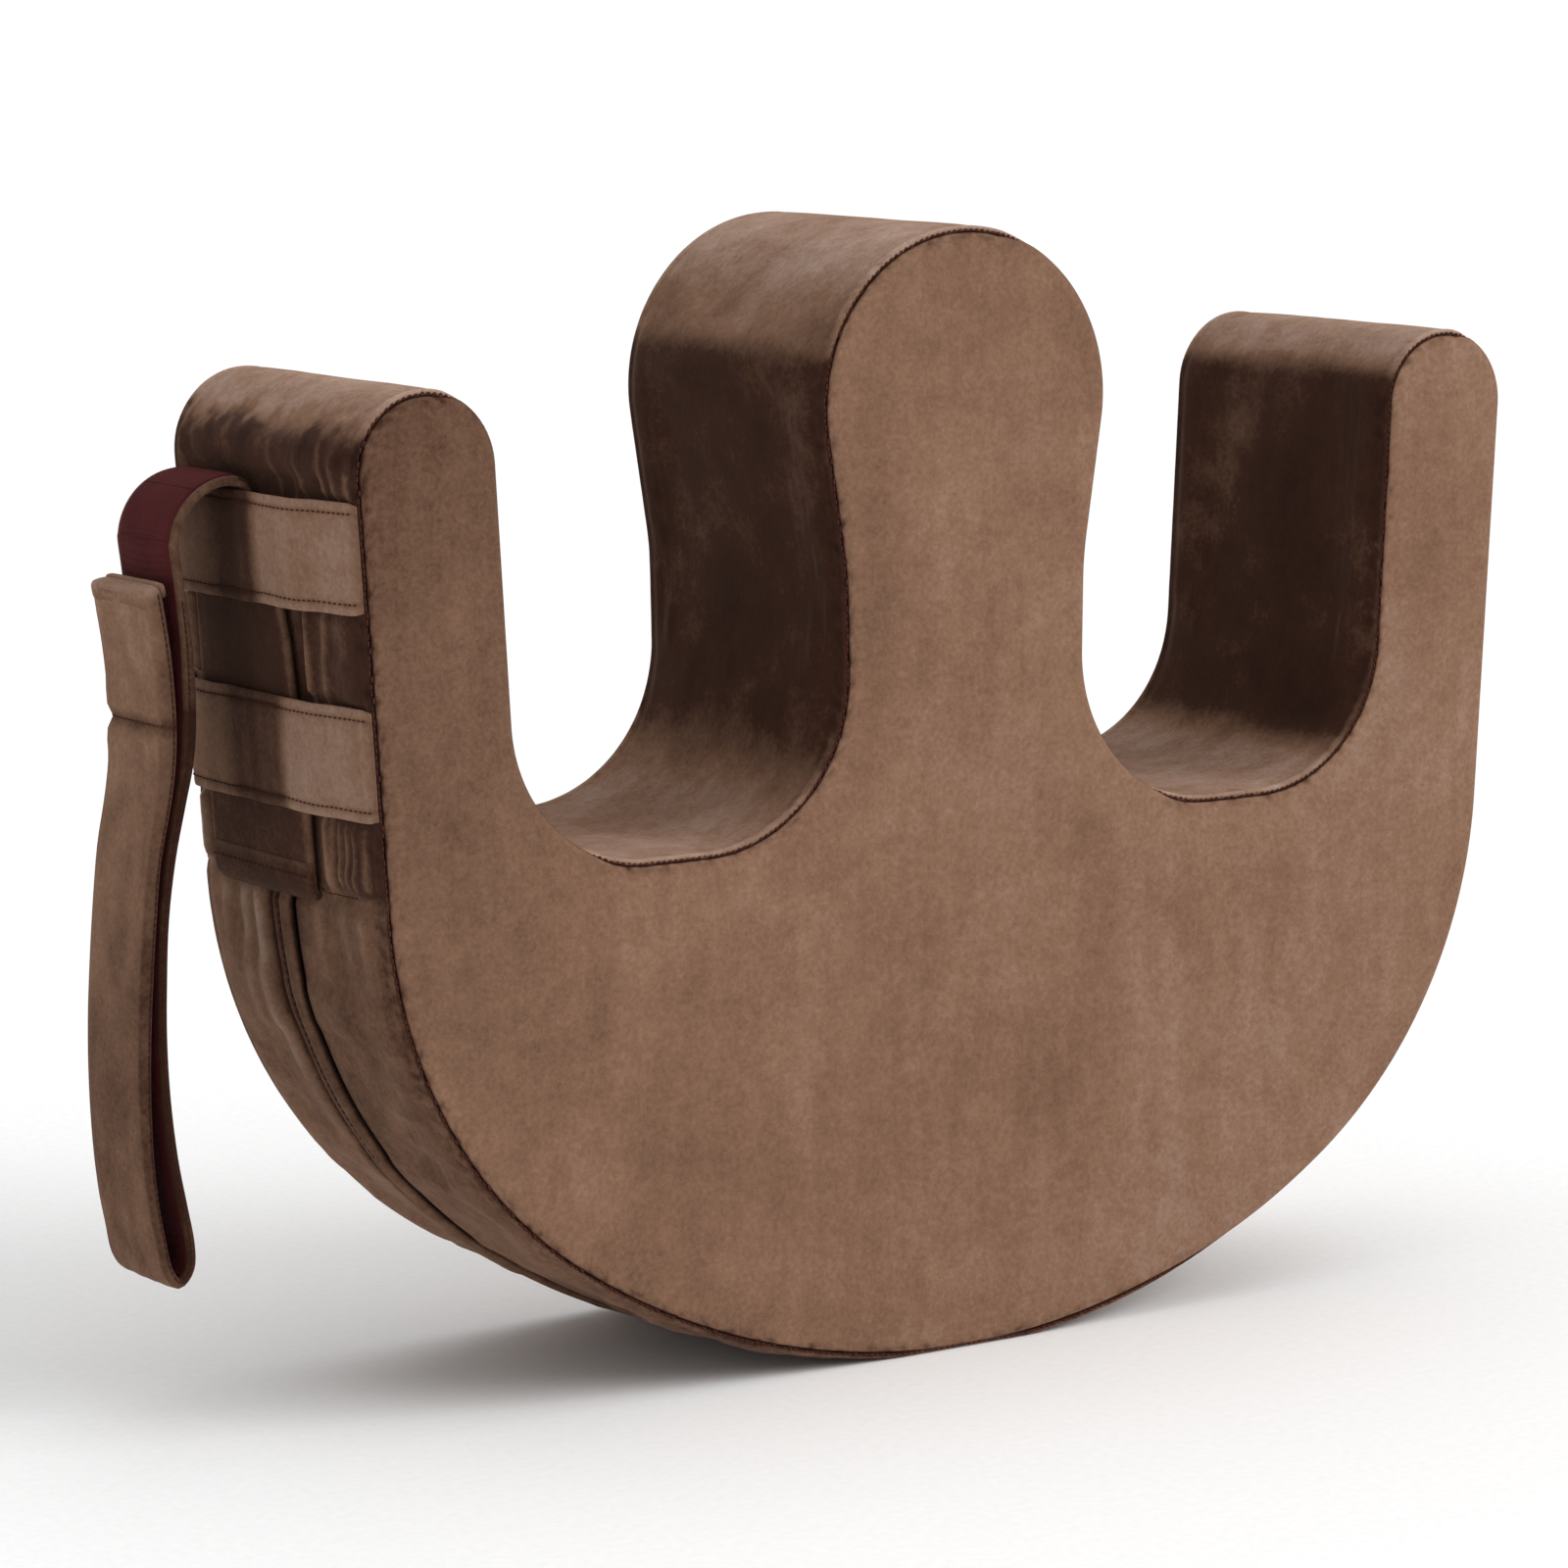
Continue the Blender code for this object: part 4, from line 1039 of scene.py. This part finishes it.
def headings(rows):
    """Direction (dx, dz) of the strap at each row."""
    out = []
    for i in range(len(rows)):
        a, b = rows[max(i - 1, 0)], rows[min(i + 1, len(rows) - 1)]
        d = math.hypot(b[0] - a[0], b[1] - a[1])
        out.append(((b[0] - a[0]) / d, (b[1] - a[1]) / d))
    return out


def pillow(v):
    """Share of the strap's half thickness at v across it, -1 to 1, with sewn-down edges."""
    body = (1.06 - 0.12 * v * v) * max(0.0, 1.0 - abs(v) ** 18) ** 0.4
    return body - 0.16 * ridge(abs(v), 0.85, 0.030)


PAST_EDGE = 1.004        # just outside the strap's edge, as a share of its half width
ACROSS = [math.sin(0.5 * math.pi * t) for t in np.linspace(-1.0, 1.0, 31)]


def strap_point(row, heading, v, t):
    """Frame point at v across the strap, -1 to 1, and t out of its middle layer."""
    x, z, _, y0, y1 = row
    dx, dz = heading
    return to_frame(x + dz * t, 0.5 * (y0 + y1) + 0.5 * (y1 - y0) * v, z - dx * t)


def strap_body(name, rows, body, level_at, dent=None, caps=(True, True)):
    """Padded velvet strap along the rows: a closed pillow section at each."""
    rings, nap_and_shade = [], []
    for i, (row, heading) in enumerate(zip(rows, headings(rows))):
        z, h = row[1:3]
        ring = []
        for side in (-1.0, 1.0):
            for v in (ACROSS if side < 0 else reversed(ACROSS[1:-1])):
                t = h * pillow(v) * side
                if side < 0:
                    t -= 0.0005 * wobble(i * 0.35, v * 3.0, 8.0) * (1.0 - abs(v))
                if dent:
                    t += dent(z, v, side, i) * side
                ring.append(strap_point(row, heading, v, t))
                nap_and_shade.append(level_at(i, z, v, side))
        rings.append(ring)
    return loft(name, rings, STRAP, nap_and_shade=nap_and_shade, body=body, slot="strap_velvet", caps=caps)


def strap_lining(name, rows, body, caps=(True, True)):
    """Burgundy cloth on the strap's other side, inside the velvet's turned edges."""
    rings = []
    for row, heading in zip(rows, headings(rows)):
        ring = []
        for side in (1.0, -1.0):
            for v in spread(-0.90 * side, 0.90 * side, 0.12):
                t = row[2] * pillow(v) + (0.00034 if side > 0 and abs(v) < 0.88 else -0.00015)
                ring.append(strap_point(row, heading, v, t))
        rings.append(ring)
    return loft(name, rings, LINING, body=body, slot="burgundy_lining", caps=caps)


def edge_seams(rows):
    """The seams that close both edges of the handle, between velvet and lining."""
    for tag, side in (("front", -1.0), ("rear", 1.0)):
        line = [strap_point(row, heading, PAST_EDGE * side, 0.3 * row[2])
                for row, heading in zip(rows, headings(rows))]
        stitches("handle_edge_seam_" + tag, line, (0.0, side, 0.0), body="handle",
                 pitch=0.0029, size=0.0027, thick=0.00032)


def across_joint(pieces):
    """Pieces made at the joint: each one's placement is baked into its mesh."""
    for ob in pieces:
        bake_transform(ob)


def strap():
    """The strap: sewn to the wall, over the keeper and down to the handle, with its lining."""

    # painted light: the sewn strap gets lighter towards the top, where it turns up into the bend; its edges
    # are lighter too
    def wall_level(i, z, v, side):
        if side > 0:
            return 0.24
        return 0.21 + 0.10 * smooth((z - 0.375) / 0.02) + 0.14 * ridge(abs(v), 0.97, 0.05)

    def edge_level(i, z, v, side):
        return 0.34 if abs(v) > 0.88 else 0.24

    anchor = anchor_path()
    body = strap_body("strap_anchor", anchor, None, wall_level, caps=(True, False))
    lining = strap_lining("strap_anchor_lining", anchor[-13:], None, caps=(True, False))
    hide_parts("strap_velvet", "strap_padding", "strap_end_hem")
    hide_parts("strap_lining")
    turns = spread(MID_1, MID_2, math.radians(5.0))
    over = [(*bend(psi), STRAP_HALF, *HANDLE_Y) for psi in turns]
    bend_body = strap_body("strap_bend", over, None, edge_level, caps=(False, False))
    bend_lining = strap_lining("strap_bend_lining", over, None, caps=(False, False))
    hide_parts("link_1_velvet", "link_2_velvet")
    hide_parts("link_1_lining", "link_2_lining")
    handle()
    across_joint([body, lining])
    across_joint([bend_body, bend_lining])
    hem_line(anchor)


def hem_line(anchor):
    """The turned hem over the strap's sewn end, with its stitching."""
    rows = [(x - 0.0002, z, 0.0025, y0, y1) for x, z, _, y0, y1 in anchor[0:6]]

    # painted highlight along the hem fold's upper edge
    def level(i, z, v, side):
        return 0.21 + 0.12 * ridge(i, 5.0, 0.8)

    strap_body("strap_end_fold", rows, "cushion", level)
    x, z = rows[3][0:2]
    line = [to_frame(x - 0.0027, y, z) for y in spread(-0.022, 0.059, 0.004)]
    stitches("strap_end_stitching", line, LEFTWARDS)


def handle():
    """The hanging handle: padded velvet, lining, edge seams, cross stitching and rim."""
    rows = handle_path()
    turn = min(range(len(rows)), key=lambda i: rows[i][1])
    top = max(row[1] for row in rows[turn:])

    def level(i, z, v, side):
        if i < turn:
            return (0.33 if abs(v) > 0.88 and z > 0.3 else 0.22) + 0.04 * wobble(i * 0.2, v)
        high = smooth((z - 0.16) / 0.16)
        base = 0.38 + 0.13 * high + 0.08 * wobble(i * 0.22, v * 2.0, 3.0)
        # painted shade in the pinch at the cross stitching and in the crease under the rim
        crease_shade = 0.20 * ridge(z, STITCH_Z, 0.0016) + 0.30 * ridge(z, top - 0.0080, 0.0014)
        return base - 0.10 * smooth((abs(v) - 0.86) / 0.1) - crease_shade

    def dent(z, v, side, i):
        if i < turn or side > 0:
            return 0.0
        full = 0.0009 * smooth((i - turn) / 12.0) * (1.0 - v ** 6)
        pinch = full - 0.0022 * ridge(z, STITCH_Z, 0.0026) + 0.0009 * ridge(z, STITCH_Z - 0.009, 0.006)
        pinch += 0.0007 * ridge(z, STITCH_Z + 0.008, 0.005)
        fold = 0.0006 * ridge(z, STITCH_Z - 0.022, 0.0035) * ridge(v, -0.35, 0.5)
        return pinch + fold - 0.0005 * ridge(z, top - 0.006, 0.0018)

    body = strap_body("handle_strap", rows, None, level, dent=dent, caps=(False, True))
    lining = strap_lining("handle_strap_lining", rows[:-8], None, caps=(False, True))
    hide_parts("handle_velvet", "handle_padding")
    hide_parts("handle_lining")
    across_joint([body, lining])
    straight = next(i for i, row in enumerate(rows) if row[1] < 0.350)
    edge_seams(rows[straight:])
    bar = min(range(turn, len(rows)), key=lambda i: abs(rows[i][1] - STITCH_Z))
    bar_row = (rows[bar][0], STITCH_Z, *rows[bar][2:])
    line = []
    for v in spread(-0.93, 0.93, 0.12):
        out = bar_row[2] * pillow(v) + dent(STITCH_Z, v, -1.0, bar) + 0.0002
        line.append(strap_point(bar_row, (0.0, 1.0), v, -out))
    cross = stitches("handle_cross_stitching", line, LEFTWARDS, body="handle", pitch=0.0028, size=0.0025)
    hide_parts("handle_stitch_bar")
    rim(rows[-1], headings(rows)[-1])


# the rim's two pieces: shift out of the strap's middle, half thickness, lower and upper edge, and base
# lightness, to which painted light is added towards the top
RIM = [("handle_rim_lip", -0.0004, 0.0053, -0.0066, 0.0030, 0.46),
       ("handle_rim_ply", 0.0044, 0.0018, -0.0030, 0.0036, 0.42)]


def rim(row, heading):
    """Turned-in end of the handle: a rounded lip over the top, and the inner ply folded behind it."""
    dx, dz = heading
    for name, shift, thick, low, high, level in RIM:
        rings, nap_and_shade = [], []
        for v in ACROSS:
            y = strap_point(row, heading, PAST_EDGE * v, 0.0)[1]
            end = max(0.0, 1.0 - abs(v) ** 12) ** 0.5
            ring = []
            for side, rise in rounded(20, 0.6, 0.6):
                t = shift + (thick * side + 0.0002 * wobble(y * 80.0, shift * 900.0, rise)) * end
                up = 0.5 * (low + high) + 0.5 * (high - low) * rise * (0.45 + 0.55 * end)
                raised = (row[0] + dx * up, row[1] + dz * up, *row[2:])
                ring.append(strap_point(raised, heading, PAST_EDGE * v, t))
                # painted light: lighter towards the rim's top
                nap_and_shade.append(level + 0.12 * rise)
            rings.append(ring)
        ob = loft(name, rings, STRAP, nap_and_shade=nap_and_shade, body="handle", slot="strap_velvet")
        if name == "handle_rim_lip":
            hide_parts("handle_end_cap")


# ---- the zip
TEETH = (-32.2, 31.0)    # degrees along the rocker arc
TOOTH_PITCH = 0.0012


def zip_teeth():
    """Interlocked coil teeth on each tape, laid along the rocker arc."""
    first, last = (math.radians(angle) for angle in TEETH)
    for name, side, node in (("zip_teeth_front", -1.0, "zip_coil_front"),
                             ("zip_teeth_rear", 1.0, "zip_coil_rear")):
        verts, faces = [], []
        pitch = TOOTH_PITCH / BOTTOM_R
        for k in range(int((last - first) / pitch)):
            a = first + pitch * (k + (0.5 if side > 0 else 0.0))
            base = len(verts)
            for y, wide, deep in ((0.0017, 0.45, 0.0005), (0.0009, 0.40, 0.0007), (-0.0001, 0.46, 0.0008)):
                for da, dr in ((-wide, 0.0), (-0.5 * wide, deep), (0.5 * wide, deep), (wide, 0.0),
                               (0.5 * wide, -deep), (-0.5 * wide, -deep)):
                    angle, r = a + da * pitch, BOTTOM_R - 0.0053 + dr
                    z = BOTTOM_R - r * math.cos(angle)
                    verts.append(to_frame(r * math.sin(angle), ZIP_Y + side * y, z))
            faces += [tuple(base + v for v in f) for f in grid_faces(3, 6, around=True)]
            faces += [tuple(base + j for j in range(6)), tuple(base + 12 + j for j in reversed(range(6)))]
        ob = make(name, verts, faces, COIL, slot="zip_coil")
        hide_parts(node)


def repaint(names, material):
    """Better material on CAD nodes whose shape is already right."""
    for name in names:
        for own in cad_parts[name].material_slots:
            own.material = material


# ---- floor, light and camera
FILL_STRENGTH = 0.52


def studio():
    """Pale paper floor, a white background that gives fill light, and two wide lamps."""
    sh = Shader("floor_paper")
    grain = sh.noise(sh.coords(), 220.0, 3.0)
    sh.gloss(Base_Color=sh.ramp(grain, [(0.3, (0.93, 0.93, 0.93)), (0.7, (0.97, 0.97, 0.97))]), Roughness=0.9,
             Specular_IOR_Level=0.1)
    mesh = bpy.data.meshes.new("studio_floor")
    ring = [(60.0 * math.cos(TAU * k / 64), 60.0 * math.sin(TAU * k / 64), -0.0003) for k in range(64)]
    mesh.from_pydata(ring, [], [tuple(range(64))])
    mesh.materials.append(sh.material)
    floor = bpy.data.objects.new("studio_floor", mesh)
    bpy.context.scene.collection.objects.link(floor)

    world = bpy.data.worlds.new("studio_world")
    world.use_nodes = True
    fill_light = world.node_tree.nodes["Background"]
    fill_light.inputs["Color"].default_value = (1.0, 1.0, 1.0, 1.0)
    path = world.node_tree.nodes.new("ShaderNodeLightPath")
    seen = world.node_tree.nodes.new("ShaderNodeMath")
    seen.operation = 'MULTIPLY_ADD'
    seen.inputs[1].default_value = 1.0 - FILL_STRENGTH     # adds up to full white for the camera alone
    seen.inputs[2].default_value = FILL_STRENGTH
    world.node_tree.links.new(path.outputs["Is Camera Ray"], seen.inputs[0])
    world.node_tree.links.new(seen.outputs[0], fill_light.inputs["Strength"])
    bpy.context.scene.world = world
    bpy.context.scene.view_settings.view_transform = 'Standard'

    def lamp(name, towards, softness, strength):
        """A wide, even light from far away, so that the floor stays one pale tone."""
        data = bpy.data.lights.new(name, 'SUN')
        data.angle = math.radians(softness)
        data.energy = strength
        ob = bpy.data.objects.new(name, data)
        ob.rotation_euler = Vector(towards).to_track_quat('Z', 'Y').to_euler()
        bpy.context.scene.collection.objects.link(ob)

    lamp("key_light", (0.62, -0.60, 0.50), 40.0, 1.9)
    lamp("top_light", (0.15, 0.1, 1.0), 70.0, 0.9)


CAMERA_AT = (-1.3731, -2.0283, 0.6197)
CAMERA_TURN = (33.829, 8.752, -0.320)     # yaw, pitch and roll in degrees


def camera():
    """The photograph's view, from the front left and a little above."""
    yaw, pitch, roll = (math.radians(angle) for angle in CAMERA_TURN)
    look = Vector((math.sin(yaw) * math.cos(pitch), math.cos(yaw) * math.cos(pitch), -math.sin(pitch)))
    right = Vector((math.cos(yaw), -math.sin(yaw), 0.0))
    up = right.cross(look)
    right, up = (right * math.cos(roll) + up * math.sin(roll), up * math.cos(roll) - right * math.sin(roll))
    data = bpy.data.cameras.new("photo_camera")
    data.lens = 129.2
    data.sensor_width = 36.0
    ob = bpy.data.objects.new("photo_camera", data)
    turn = Matrix((right, up, -look)).transposed().to_4x4()
    ob.matrix_world = Matrix.Translation(CAMERA_AT) @ turn
    bpy.context.scene.collection.objects.link(ob)
    bpy.context.scene.camera = ob


cover()
seams()
keeper("keeper_loop_upper", *KEEPERS[0], 0.0078, "keeper_upper", 0.57, -0.34, -0.012)
keeper("keeper_loop_lower", *KEEPERS[1], 0.0056, "keeper_lower", 0.58, -0.32, -0.021)
strap()
zip_teeth()
repaint(["zip_tape_front", "zip_tape_rear"], TAPE)
repaint(["zip_slider", "zip_pull_tab", "zip_top_stop", "zip_bottom_stop"], METAL)
studio()
camera()
